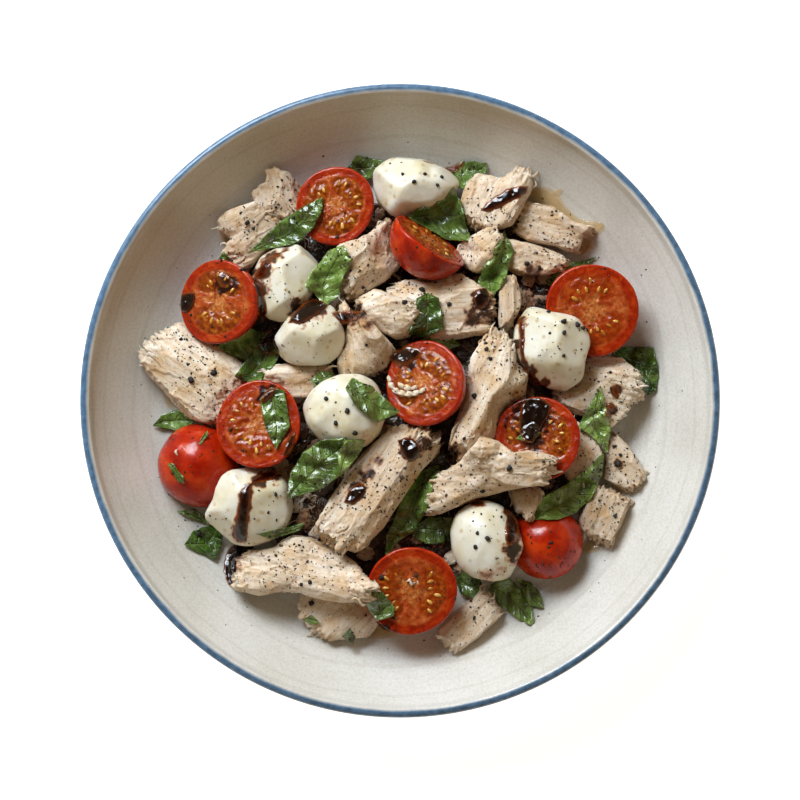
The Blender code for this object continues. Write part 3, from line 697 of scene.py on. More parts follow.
# the way the muscle fibres run, in degrees, and how dark the piece is; the tone of 1.0 on chicken_14 is
# partly painted light, raised to lift a piece that lies in shade
chickens = dict(zip([f"chicken_{i:02d}" for i in range(1, 25)], (
    (115, 0.4), (30, 0.38), (-65, 0.5), (50, 0.42), (5, 0.66), (0, 0.66), (-35, 0.85), (0, 0.5), (62, 0.42),
    (-20, 0.2),
    (-15, 0.38), (35, 0.5), (90, 0.4), (-10, 1.0), (70, 0.74), (-8, 0.36), (-15, 0.56), (45, 0.4),
    (55, 0.38), (50, 0.45),
    (-45, 0.42), (70, 0.16), (90, 0.4), (-60, 0.45))))
# pieces cut square: the way one side faces, and the share of the lump left on each side
chickenCubes = {"chicken_20": (42, 0.76), "chicken_22": (66, 0.74)}
chickenStains = (
    (-16, 30, 5, 0.85), (-21, 28, 4, 0.75), (-11, 26, 3, 0.6), (33, 70, 2, 0.6), (38, 73, 2.2, 0.6),
    (43, 75, 2.4, 0.6),
    (78, 3, 3.4, 0.85), (76, -3, 3.4, 0.8), (74, -7, 2.6, 0.6), (4, -18, 5, 1.0), (9, -16, 3.4, 0.7),
    (-15, -33, 4, 0.95),
    (-11, -27, 3.6, 0.75), (-8, -22, 3, 0.5), (-19, -41, 4, 0.22), (29, 35, 5, 0.9), (26, 29, 4.4, 0.7),
    (31, 30, 4, 0.6),
    (79, -23, 2.4, 0.8), (18, -19, 4, 0.9), (-59, -55, 4, 0.7), (-60, -60, 4, 0.6), (21, 45, 4, 0.3),
    (48, 47, 5, 0.6),
    (-46, 22, 5, 0.5), (42, 0, 4, 0.4), (30, -12, 3, 0.3), (-28, 8, 4, 0.5), (27, -64, 3, 0.4),
)


def poachedChicken():
    # poached chicken breast pulled apart by hand: matt to moist pale beige muscle, in threads of about a
    # millimetre, with painted shade darkening the clefts between the bundles
    look, tree, shader = newLook("pulledPoachedChicken")
    fibre = layerOf(tree, "fibre", "Vector")
    cleftShade = layerOf(tree, "cleftShade")
    tone = layerOf(tree, "tone")
    place = placeOf(tree)
    bend = noiseOf(tree, fibre, 0.3, 2.0).outputs["Color"]
    bent = addNode(tree, "VectorMath", {"operation": "MULTIPLY_ADD", 1: (1.0, 1.0, 1.0), 0: bend, 2: fibre})
    drawn = addNode(tree, "Mapping", {"Scale": (0.11, 1.0, 1.0), "Vector": bent})
    strands = spotsOf(tree, drawn, 0.9)
    fuzz = noiseOf(tree, drawn, 1.3, 4.0, 0.65)
    threads = mixOf(tree, 0.5, rangeOf(tree, strands, 0.0, 0.75, 0.75, 0.3), fuzz)
    bundles = noiseOf(tree, drawn, 0.4, 2.0)
    blend = mixOf(tree, 0.45, threads, bundles)
    meat = rampOf(tree, blend, (0.36, "#D6BC9C"), (0.45, "#E3CFB6"), (0.53, "#EBDCC9"), (0.62, "#F3E9DD"))
    shade = rampOf(tree, tone, (0.0, "#B49A7C"), (0.5, "#EAE1D6"), (1.0, "#FFFFFF"))
    season = noiseOf(tree, place, 110.0, 4.0, 0.6)
    seasonHere = rampOf(tree, season, (0.5, 0.0), (0.66, 0.6))
    seasoned = mixOf(tree, seasonHere, meat, "#E3C388", "MULTIPLY")
    pits = noiseOf(tree, place, 1500.0, 3.0, 0.7)
    pitTone = rampOf(tree, pits, (0.36, 0.75), (0.46, 1.0))
    pitted = mixOf(tree, 0.35, seasoned, pitTone, "MULTIPLY")
    toned = mixOf(tree, 0.45, pitted, shade, "MULTIPLY")
    # painted shade: the clefts between the bundles and the hollows at the torn ends are darkened towards
    # tan brown
    paintedCleftShade = mixOf(tree, mathOf(tree, "MULTIPLY", cleftShade, 0.3), toned, "#B08A62")
    dust = spotsOf(tree, place, 430.0)
    dustTone = rampOf(tree, dust, (0.07, 0.85), (0.16, 0.0))
    dusted = mixOf(tree, dustTone, paintedCleftShade, "#4A2E16")
    finer = spotsOf(tree, place, 900.0)
    finerTone = rampOf(tree, finer, (0.1, 0.7), (0.2, 0.0))
    dusted = mixOf(tree, finerTone, dusted, "#6A4826")
    soaked = soakedColour(tree, dusted, [(0.08, "#D8A44A"), (0.3, "#A0540C"), (0.52, "#522206"),
            (0.8, "#1A0802")])
    stain = layerOf(tree, "stain")
    roughness = rangeOf(tree, stain, 0.2, 0.8, 0.5, 0.16)
    setUp(tree, shader, {"Subsurface Weight": 0.3, "Subsurface Radius": (1.0, 0.62, 0.38),
                         "Subsurface Scale": 0.002, "IOR": 1.4, "Base Color": soaked,
                         "Roughness": roughness,
                         "Normal": bumpOf(tree, pits, 0.3, 0.18, bumpOf(tree, threads, 0.8, 0.5))})
    return look


def shredForm(length, width, bends, twist, steps=7):
    # one pulled thread: a flattened tube that tapers to both ends, made from a grid rolled up
    bm = bmesh.new()
    bmesh.ops.create_grid(bm, x_segments=steps, y_segments=5, size=0.5)
    fibreLayer = bm.verts.layers.float_vector.new("fibre")
    for vert in bm.verts:
        along, turn = vert.co.x + 0.5, (vert.co.y + 0.5) * math.tau
        girth = 0.5 * width * (math.sin(math.pi * min(max(along, 0.02), 0.98)) ** 0.45)
        spine = Vector(((along - 0.5) * length,
                        bends[0] * math.sin(math.pi * along) + bends[1] * math.sin(math.tau * along),
                        bends[2] * math.sin(math.pi * along)))
        vert[fibreLayer] = (along * length, math.cos(turn) * width, math.sin(turn) * width + twist * 9)
        vert.co = spine + Vector((0.0, math.cos(turn + twist) * girth,
                0.7 * math.sin(turn + twist) * girth))
    bmesh.ops.remove_doubles(bm, verts=bm.verts, dist=0.02)
    bmesh.ops.holes_fill(bm, edges=[edge for edge in bm.edges if edge.is_boundary])
    bmesh.ops.recalc_face_normals(bm, faces=bm.faces)
    bmesh.ops.scale(bm, vec=(mm, mm, mm), verts=bm.verts)
    return meshOf(bm, "shredForm", True)


def buildChicken():
    look, c, shreds = poachedChicken(), chickenShape, bmesh.new()
    forms = [shredForm(dice.uniform(5, 9), dice.uniform(0.7, 1.25),
                       [dice.uniform(-1.1, 1.1) for _ in range(3)], i)
             for i in range(9)]
    for number, (name, (grain, tone)) in enumerate(chickens.items()):
        bm = evenMesh(copyOf(name), c["cell"], c["soften"], 0, c["grow"])
        fibreLayer = bm.verts.layers.float_vector.new("fibre")
        cleftShadeLayer = bm.verts.layers.float.new("cleftShade")
        stainLayer = bm.verts.layers.float.new("stain")
        toneLayer = bm.verts.layers.float.new("tone")
        low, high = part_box(name)
        middle = (low + high) / 2
        turns = [grain + 90 * side + dice.uniform(-18, 18) for side in range(4)]
        lean = grain + dice.choice((90, -90)) + dice.uniform(-25, 25)
        faces = ([(lean, 90 - dice.uniform(8, 17), 0.7), (lean + 180, dice.uniform(42, 55), 0.84)]
                 + [(turn, dice.uniform(4, 26), dice.uniform(0.82, 0.9)) for turn in turns])
        if name in chickenCubes:
            square, kept = chickenCubes[name]
            faces = [(0, 88, 0.8)] + [(square + 90 * side, 10, kept) for side in range(4)]
            bmesh.ops.scale(bm, vec=(1.12, 1.12, 1.0), space=Matrix.Translation(-middle), verts=bm.verts)
        pareFaces(bm, middle, faces)
        soften(bm, 1)
        along = Vector((math.cos(math.radians(grain)), math.sin(math.radians(grain)), 0.0))
        across = up.cross(along)
        reach = max(abs((vert.co - middle).dot(along)) for vert in bm.verts) / mm
        shift = seedVector(number + 40)
        ragged = c["ragged"] * (0.35 + 0.65 * smoothStep(9, 17, reach))
        tips = []
        for vert in bm.verts:
            off = (vert.co - middle) / mm
            s, t, z = off.dot(along), off.dot(across), off.z
            t += 1.0 * noise.noise(Vector((s / 12, t / 12, z / 12)) + shift)
            bundle = noise.noise(Vector((s / 14, t / 5, z / 5)) + shift)
            crumb = noise.noise(off / 1.4 + shift)
            away, cells = noise.voronoi(Vector((s / c["strandLong"], t / c["strandWide"],
                    z / c["strandWide"])) + shift + Vector((0.3, 0.3, 0.3)) * crumb)
            rounded = math.sqrt(min(1.6 * (away[1] - away[0]), 1.0))
            height = noise.cell(cells[0] * 31.7)
            layerAway, layers = noise.voronoi(Vector((s / c["layerLong"], t / c["layerWide"],
                    z / c["layerWide"])) + shift * 1.7 + Vector((0.1, 0.16, 0.16)) * crumb)
            layer = ((noise.cell(layers[0] * 23.1) - 0.5)
                     * smoothStep(0.0, 0.09, layerAway[1] - layerAway[0]))
            end = smoothStep(0.55, 0.95, abs(s) / reach)
            knobs = noise.noise(off / 1.5 + shift * 2) + 0.6 * noise.noise(off / 0.8 + shift)
            tear = noise.cell(cells[0] * 17.3 + shift) - 0.5 + 0.4 * crumb
            push = (c["bundle"] * bundle + c["strand"] * (rounded - 0.75) + c["step"] * (height - 0.5)
                    + c["layer"] * layer + (0.05 + end * c["crumble"]) * knobs)
            # how far a point lies down in a cleft; the material darkens it as painted shade
            cleft = (smoothStep(0.4, 0.05, rounded) * smoothStep(0.6, 0.2, height) * 0.7
                     + smoothStep(0.06, 0.0, layerAway[1] - layerAway[0]))
            vert.co += vert.normal * push * mm + along * math.copysign(end * ragged * tear, s) * mm
            vert[fibreLayer] = (s, t, z)
            vert[cleftShadeLayer] = min(cleft + 0.4 * end * smoothStep(0.0, -0.4, tear), 1.0)
            vert[stainLayer] = stainAt(vert.co.x / planScale, vert.co.y / planScale, chickenStains)
            vert[toneLayer] = tone + 0.25 * noise.noise(off / 8 + shift)
            if end > 0.3 and vert.co.z > middle.z - 0.002:
                tips.append((vert.co.copy(), math.copysign(1.0, s)))
        bm.normal_update()
        addGround(bm, "chicken")
        addPiece(name + "_pulled", bm, look, [name])
        for place, side in dice.sample(tips, min(c["shredsEach"], len(tips))):
            turn = math.radians(grain) + dice.uniform(-0.3, 0.3)
            pose = (Matrix.Translation(place + along * side * dice.uniform(-2.5, 0.6) * mm - up * 0.0001)
                    @ Matrix.Rotation(turn, 4, "Z")
                    @ Matrix.Rotation(side * dice.uniform(-0.05, 0.4), 4, "Y"))
            addCopy(shreds, dice.choice(forms), pose @ Matrix.Scale(dice.uniform(0.7, 1.15), 4),
                    tone + dice.uniform(-0.25, 0.3))
    addPiece("chickenThreads", shreds, look)
    return look, forms


chickenLook, threadForms = buildChicken()
print("chicken done")


# bed of dressed shreds under the big pieces

# drop: how far the core lies below the solid; relief: height of its lumps; scrapSize: half sizes, all in mm
bedShape = {"cell": 1.3, "drop": 1.9, "relief": 1.5, "fineRelief": 0.6, "threads": 170, "tries": 9000,
            "scrapSize": (4.2, 2.7, 1.9)}


def dressedShreds():
    # chicken shreds and torn herbs soaked in balsamic and oil: wet near-black brown with tan threads
    look, tree, shader = newLook("dressedShredsInBalsamic")
    place = placeOf(tree)
    lumps = noiseOf(tree, place, 330.0, 5.0, 0.7)
    colour = rampOf(tree, lumps, (0.34, "#120602"), (0.5, "#2E1607"), (0.62, "#5C3515"), (0.76, "#8A6030"))
    herbs = noiseOf(tree, place, 140.0, 3.0)
    herbHere = rampOf(tree, herbs, (0.58, 0.0), (0.66, 0.8))
    mixed = mixOf(tree, herbHere, colour, "#2B3310")
    setUp(tree, shader, {"Roughness": 0.22, "Coat Weight": 0.5, "Coat Roughness": 0.1, "Base Color": mixed,
                         "Normal": bumpOf(tree, lumps, 0.9, 1.0)})
    return look


def chunkForm(number):
    # a torn scrap of chicken the size of a bean
    bm = bmesh.new()
    bmesh.ops.create_icosphere(bm, subdivisions=4, radius=1.0)
    fibreLayer = bm.verts.layers.float_vector.new("fibre")
    cleftShadeLayer = bm.verts.layers.float.new("cleftShade")
    shift = seedVector(number + 200)
    for vert in bm.verts:
        place = Vector([part * size for part, size in zip(vert.co, bedShape["scrapSize"])])
        away, cells = noise.voronoi(Vector((place.x / 6, place.y / 1.3, place.z / 1.3)) + shift)
        rounded = math.sqrt(min(1.6 * (away[1] - away[0]), 1.0))
        out = 1 + 0.3 * noise.noise(place / 3 + shift) + 0.12 * (rounded - 0.7)
        place = place * out
        place.x += 1.6 * (noise.cell(cells[0] * 17.3) - 0.5) * abs(vert.co.x) ** 2 * math.copysign(1,
                vert.co.x)
        vert[fibreLayer] = place + Vector((0, 0, number * 7))
        # painted shade in the gaps between the strands of the scrap
        vert[cleftShadeLayer] = smoothStep(0.4, 0.05, rounded)
        vert.co = place * mm
    return meshOf(bm, "chunkForm", True)


def buildBed():
    b = bedShape
    bm = evenMesh(copyOf("salad_bed"), b["cell"], 6, 1)
    shift = seedVector(70)
    for vert in bm.verts:
        place = vert.co / mm
        if vert.normal.z > 0:
            vert.co.z += mm * (b["relief"] * noise.noise(place / 3.2 + shift)
                               + b["fineRelief"] * noise.noise(place / 1.6 + shift)
                               - b["drop"] * vert.normal.z)
    bm.normal_update()
    addGround(bm, "bed")
    addPiece("saladBedCore", bm, dressedShreds(), ["salad_bed"])
    loose = bmesh.new()
    made = 0
    for _ in range(b["tries"]):
        x, y = dice.uniform(-0.082, 0.082), dice.uniform(-0.082, 0.086)
        height, _, kind = topAt(x, y)
        if kind != "bed" or made >= b["threads"]:
            continue
        made += 1
        pose = poseOf(x, y, height + dice.uniform(-0.0004, 0.0012), anyTurn(), dice.uniform(-0.5, 0.5),
                      dice.uniform(0.6, 1.2))
        addCopy(loose, dice.choice(threadForms), pose, dice.uniform(-0.1, 0.75) ** 2,
                dice.uniform(0.0, 0.8))
    addPiece("bedThreads", loose, chickenLook)
    scraps, chunks = bmesh.new(), [chunkForm(i) for i in range(6)]
    made = 0
    while made < chickenShape["scraps"]:
        x, y = dice.uniform(-0.072, 0.074), dice.uniform(-0.074, 0.08)
        height, _, kind = topAt(x, y)
        if kind != "bed":
            continue
        made += 1
        pose = poseOf(x, y, height + dice.uniform(-0.0006, 0.0008), anyTurn(), dice.uniform(-0.35, 0.35),
                      dice.uniform(0.55, 1.15)) @ Matrix.Scale(0.7, 4, up)
        addCopy(scraps, dice.choice(chunks), pose, dice.uniform(-0.2, 0.7),
                dice.choice((0.1, 0.4, 0.7, 0.95)))
    addGround(scraps, "bed")
    addPiece("chickenScraps", scraps, chickenLook)
    dropMeshes(chunks)


buildBed()
print("bed done")


# flat things laid over the heap: leaves, balsamic and oil

def cutCorners(points, passes=1):
    # an open line with its corners cut and its ends kept
    line = [Vector(point) for point in points]
    for _ in range(passes):
        inner = [share for one, other in zip(line, line[1:])
                 for share in (one.lerp(other, 0.25), one.lerp(other, 0.75))]
        line = [line[0]] + inner + [line[-1]]
    return line


def pointOn(line, share):
    lengths = [(other - one).length for one, other in zip(line, line[1:])]
    target = share * sum(lengths)
    for i, length in enumerate(lengths):
        if target <= length or i == len(lengths) - 1:
            return line[i].lerp(line[i + 1], min(target / max(length, 1e-9), 1.0))
        target -= length


def flatPatch(outline, tip, step, ripple=0.0, shift=0.0, rounding=2):
    # a grid drawn out between the two sides of an outline that runs from its base round its tip; each
    # point keeps its place along and across, and how far it is from the outline, in millimetres
    sides = cutCorners(outline[:tip + 1], rounding), cutCorners([outline[0]] + list(outline[:tip - 1:-1]),
            rounding)
    length = sum((other - one).length for side in sides for one, other in zip(side, side[1:])) / 2
    width = max((pointOn(sides[0], share / 8) - pointOn(sides[1], share / 8)).length
                for share in range(1, 8))
    bm = bmesh.new()
    bmesh.ops.create_grid(bm, x_segments=max(8, round(length / step)),
                          y_segments=max(6, round(width / step)), size=0.5)
    leafLayer = bm.verts.layers.float_vector.new("leaf")
    for vert in bm.verts:
        share = 0.55 * (vert.co.x + 0.5) + 0.45 * (0.5 - 0.5 * math.cos(math.pi * (vert.co.x + 0.5)))
        one, other = pointOn(sides[0], share), pointOn(sides[1], share)
        half = (one - other).length / 2
        where = one.lerp(other, vert.co.y + 0.5)
        rim = max(abs(vert.co.y) * 2, 0.0)
        where += Vector((noise.noise(Vector((where.x / 2.2, where.y / 2.2, shift))),
                         noise.noise(Vector((where.x / 2.2, where.y / 2.2,
                shift + 9))))) * ripple * rim ** 3
        ends = min(share, 1 - share) * length
        vert[leafLayer] = (share * length, -vert.co.y * 2 * half, min(half * (1 - rim), ends + 0.25 * half))
        vert.co = (where.x * planScale, where.y * planScale, 0.0)
    bmesh.ops.remove_doubles(bm, verts=bm.verts, dist=0.00003)
    return bm, width


def faceUp(bm):
    bmesh.ops.recalc_face_normals(bm, faces=bm.faces)
    if sum(face.normal.z for face in bm.faces) < 0:
        bmesh.ops.reverse_faces(bm, faces=bm.faces)


def layOver(bm, passes, climb, kinds=None, share=0.5):
    # lets a flat patch fall on what is under it and bridges the small hollows
    bm.verts.ensure_lookup_table()
    bm.verts.index_update()
    raw = [topAt(vert.co.x, vert.co.y, kinds)[0] for vert in bm.verts]
    rest = sorted(raw)[int(len(raw) * share)]
    raw = [min(max(height, rest - climb * mm), rest + 0.8 * climb * mm) for height in raw]
    near = [[edge.other_vert(vert).index for edge in vert.link_edges] for vert in bm.verts]
    heights = list(raw)
    for _ in range(passes):
        heights = [max(raw[i], sum(heights[j] for j in near[i]) / len(near[i])) if near[i] else raw[i]
                   for i in range(len(raw))]
    for vert, height in zip(bm.verts, heights):
        vert.co.z = height


# basil

basilShape = {"step": 0.62, "thick": 0.34, "veinGap": 3.6, "quilt": 0.55, "passes": 22, "climb": 4.0}
# outline from the base of the leaf round its tip, in plan mm; tip: number of the tip point; curl: lift of
# the edges; tone: how light the leaf is; rest: how high it rides on what is under it; fold and pleat:
# height and spacing of its creases
basilLeaves = {
    "basil_01": dict(outline=((-55, 53), (-48, 60), (-41, 66), (-34, 70), (-28, 73), (-28, 68), (-31, 62),
            (-35, 58), (-39, 56), (-47, 55)), tip=4, curl=0.6, tone=0.2),
    "basil_02": dict(outline=((-27, 33), (-31, 38), (-34, 40), (-32, 45), (-29, 49), (-26, 53), (-20, 55),
            (-17, 49), (-20, 44), (-22, 37)), tip=6, curl=1.2, tone=0.65),
    "basil_03": dict(outline=((-66, 19), (-60, 28), (-48, 24), (-55, 14)), tip=2, curl=0.8, tone=0.8),
    "basil_04": dict(outline=((18, 83), (23, 88), (32, 87), (31, 82), (24, 77), (20, 78)), tip=2, curl=0.5,
                     tone=0.35),
    "basil_05": dict(outline=((3, 66), (11, 74), (20, 77), (24, 66), (26, 57), (16, 59), (9, 63)), tip=3,
                     curl=0.7, tone=0.4),
    "basil_06": dict(outline=((38, 62), (41, 54), (38, 43), (33, 36), (28, 43), (32, 51)), tip=3, curl=0.5,
                     tone=0.6),
    "basil_07": dict(outline=((76, 19), (84, 20), (92, 20), (94, 10), (93, 4), (90, 2), (83, 7), (79, 13)),
                     tip=4, curl=0.6, tone=0.1),
    "basil_08": dict(outline=((10, 38), (14, 36), (16, 25), (9, 22), (3, 23), (5, 30), (6, 36)), tip=3,
                     curl=0.8, tone=0.0),
    "basil_09": dict(outline=((-19, 3), (-17, 7), (-10, 4), (0, -5), (-8, -9), (-16, -3)), tip=3, curl=0.8,
                     tone=0.35),
    "basil_10": dict(outline=((-46, 4), (-41, 3), (-39, -10), (-44, -18), (-48, -10), (-50, 0)), tip=3,
                     curl=0.6, tone=0.3),
    "basil_11": dict(outline=((-40, -36), (-39, -27), (-34, -19), (-28, -15), (-19, -14), (-16, -22),
            (-22, -28), (-27, -32), (-34, -34)), tip=4, curl=0.9, tone=0.25, rest=0.88, fold=0.5,
                     pleat=9.0),
    "basil_12": dict(outline=((15, -23), (12, -32), (9, -41), (4, -48), (-1, -51), (-5, -56), (-5, -49),
            (-1, -40), (1, -32), (6, -26)), tip=5, curl=0.6, tone=0.45, rest=0.85, fold=0.4, pleat=9.0),
    "basil_13": dict(outline=((-78, -52), (-75, -47), (-66, -44), (-64, -49), (-67, -58), (-73, -55)),
                     tip=2, curl=0.7, tone=0.0),
    "basil_14": dict(outline=((32, -68), (36, -64), (41, -65), (47, -73), (49, -82), (43, -79), (37, -75)),
                     tip=4, curl=0.7, tone=0.55),
    "basil_15": dict(outline=((72, 5), (76, -10), (75, -19), (70, -14), (64, -10), (68, -2)), tip=2,
                     curl=0.8, tone=0.9),
    "basil_16": dict(outline=((47, -43), (51, -35), (59, -31), (68, -24), (74, -18), (73, -27), (69, -35),
            (63, -41), (56, -43)), tip=4, curl=0.7, tone=0.85),
    "foldedByCheese": dict(outline=((-60, 8), (-56, 14), (-51, 22), (-44, 26), (-40, 20), (-43, 18),
            (-46, 11), (-52, 6)), tip=3, curl=0.9, tone=0.25),
    "tipByTomato": dict(outline=((-68, 50), (-64, 54), (-61, 51), (-65, 50)), tip=2, curl=0.2, tone=0.4),
    "leafAtTop": dict(outline=((-20, 85), (-16, 90), (-9, 89), (-3, 87), (-7, 83), (-12, 81), (-16, 82)),
                      tip=3, curl=0.7, tone=0.35),
    "leafAtLeft": dict(outline=((-90, -9), (-87, -5), (-81, -3), (-74, -7), (-80, -11)), tip=3, curl=0.6,
                       tone=0.35),
    "leafInMiddle": dict(outline=((-32, 7), (-29, 10), (-24, 10), (-25, 5), (-30, 4)), tip=2, curl=0.5,
                         tone=0.35),
    "paleFold": dict(outline=((7, 22), (18, 23), (22, 20), (13, 17), (8, 20)), tip=2, curl=0.9, tone=0.85),
    "stripUnderTomato": dict(outline=((53, 44), (64, 51), (72, 53), (68, 49), (59, 43), (54, 42)), tip=2,
            curl=0.3, tone=0.3),
    "lightSide": dict(outline=((-21, -28), (-22, -20), (-19, -15), (-12, -15), (-15, -21)), tip=3, curl=0.8,
                      tone=0.9),
    "bladeAtLeft": dict(outline=((-81, -40), (-75, -39), (-68, -44), (-70, -45), (-77, -42)), tip=2,
                        curl=0.4, tone=0.4),
    "underCheese": dict(outline=((-51, -48), (-41, -46), (-34, -44), (-36, -47), (-46, -50)), tip=2,
                        curl=0.4, tone=0.3),
    "besideTomato": dict(outline=((-8, -79), (-12, -74), (-9, -64), (-6, -69), (-2, -74), (-2, -77)), tip=2,
                         curl=0.6, tone=0.35),
    "darkNook": dict(outline=((4, -47), (10, -42), (19, -42), (18, -51), (10, -52), (5, -50)), tip=3,
                     curl=0.5, tone=0.2),
    "belowCheese": dict(outline=((20, -65), (23, -62), (29, -64), (30, -67), (26, -72), (22, -70)), tip=3,
                        curl=0.6, tone=0.35),
    "secondAtFoot": dict(outline=((42, -64), (48, -66), (51, -70), (52, -75), (47, -74)), tip=3, curl=0.7,
                         tone=0.6),
    "bitOne": dict(outline=((-35, -79), (-32, -77), (-29, -80), (-32, -81)), tip=2, curl=0.2, tone=0.4),
    "bitTwo": dict(outline=((-21, -85), (-18, -82), (-16, -85), (-17, -88)), tip=2, curl=0.2, tone=0.35),
    "onDome": dict(outline=((-72, -16), (-70, -12), (-69, -11), (-69, -13), (-71, -16)), tip=2, curl=0.1,
                   tone=0.3),
    "lowOnDome": dict(outline=((-83, -23), (-81, -23), (-77, -28), (-77, -30), (-79, -30)), tip=3, curl=0.1,
                      tone=0.3),
    "bitThree": dict(outline=((41, -14), (47, -10), (50, -12), (47, -16), (44, -15)), tip=2, curl=0.4,
                     tone=0.3),
}


def basilLeaf():
    # sweet basil, torn: thick waxy blades with a satin gloss, paler veins, quilting between them, and
    # brown bruises where the dressing has wilted it
    look, tree, shader = newLook("tornSweetBasil")
    leaf = layerOf(tree, "leaf", "Vector")
    tone = layerOf(tree, "tone")
    place = placeOf(tree)
    parts = addNode(tree, "SeparateXYZ", {0: leaf})
    aside = mathOf(tree, "ABSOLUTE", parts.outputs["Y"])
    rib = rangeOf(tree, aside, 0.18, 0.5, 1.0, 0.0)
    wander = noiseOf(tree, leaf, 0.35, 2.0)
    slant = mathOf(tree, "MULTIPLY_ADD", aside, -0.85, parts.outputs["X"])
    bent = mathOf(tree, "MULTIPLY_ADD", wander, 2.6, slant)
    toVein = mathOf(tree, "PINGPONG", bent, basilShape["veinGap"] / 2)
    vein = rangeOf(tree, toVein, 0.1, 0.42, 0.75, 0.0)
    veins = mathOf(tree, "MAXIMUM", rib, vein)
    mottle = noiseOf(tree, place, 260.0, 4.0)
    blade = rampOf(tree, mottle, (0.32, "#1C3008"), (0.5, "#355212"), (0.7, "#567C28"))
    light = rampOf(tree, mottle, (0.32, "#678630"), (0.5, "#89A64C"), (0.7, "#A8BE72"))
    lighter = mixOf(tree, tone, blade, light)
    veined = mixOf(tree, mathOf(tree, "MULTIPLY", veins, 0.34), lighter, "#8FA257")
    bruise = noiseOf(tree, place, 95.0, 3.0)
    bruised = rampOf(tree, bruise, (0.56, 0.0), (0.7, 0.7))
    browned = mixOf(tree, bruised, veined, "#3A2210")
    cells = noiseOf(tree, place, 700.0, 4.0)
    relief = mathOf(tree, "MULTIPLY_ADD", veins, -1.4, cells)
    setUp(tree, shader, {"Roughness": 0.22, "Subsurface Weight": 0.1, "Subsurface Radius": (0.4, 1.0, 0.2),
                         "Subsurface Scale": 0.0006, "Coat Weight": 0.8, "Coat Roughness": 0.06,
                         "Base Color": browned, "Normal": bumpOf(tree, relief, 1.0, 0.6)})
    return look


def buildLeaves():
    look, b = basilLeaf(), basilShape
    scraps = bmesh.new()
    for number, (name, spec) in enumerate(basilLeaves.items()):
        bm, width = flatPatch(spec["outline"], spec["tip"], b["step"], 0.3, number, 0)
        layOver(bm, b["passes"], b["climb"], None, spec.get("rest", 0.62))
        leafLayer = bm.verts.layers.float_vector["leaf"]
        toneLayer = bm.verts.layers.float.new("tone")
        shift = seedVector(number + 90)
        for vert in bm.verts:
            along, aside, rim = vert[leafLayer]
            spread = abs(aside) / max(width / 2, 0.1)
            quilt = abs(math.sin(math.pi * (along - 0.85 * abs(aside)) / b["veinGap"])) ** 0.7
            wave = noise.noise(Vector((along / 5, aside / 5, 0)) + shift)
            crease = abs(math.remainder(along + 0.5 * aside + 3 * wave + number, spec.get("pleat", 8.0)))
            vert.co.z += mm * (0.35 + b["quilt"] * quilt * min(rim / 1.5, 1)
                               + spec["curl"] * spread ** 2 * (0.7 + wave) + 0.55 * wave
                               + 0.35 * min(abs(aside) / 1.2, 1) + spec.get("fold", 0.38) * crease)
            vert[toneLayer] = spec["tone"] + 0.34 * noise.noise(Vector((along / 6, aside / 6, 3)) + shift)
        faceUp(bm)
        addGround(bm, "basil")
        bm.normal_update()
        under = bmesh.ops.extrude_face_region(bm, geom=bm.faces[:], use_keep_orig=True)["geom"]
        for vert in under:
            if isinstance(vert, bmesh.types.BMVert):
                vert.co -= (0.4 * vert.normal + 0.6 * up) * b["thick"] * mm
        bmesh.ops.recalc_face_normals(bm, faces=bm.faces)
        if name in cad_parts:
            addPiece(name + "_leaf", bm, look, [name])
        else:
            pourInto(scraps, bm)
    addPiece("basilScraps", scraps, look)


buildLeaves()
print("basil done")


# balsamic glaze and oil

# step: size of the net; depth: height of a pool of thickness 1; shoulder: width of its rounded edge, in mm
glazeShape = {"step": 0.45, "depth": 1.0, "shoulder": 2.0, "ripples": 0.45, "climb": 6.0}
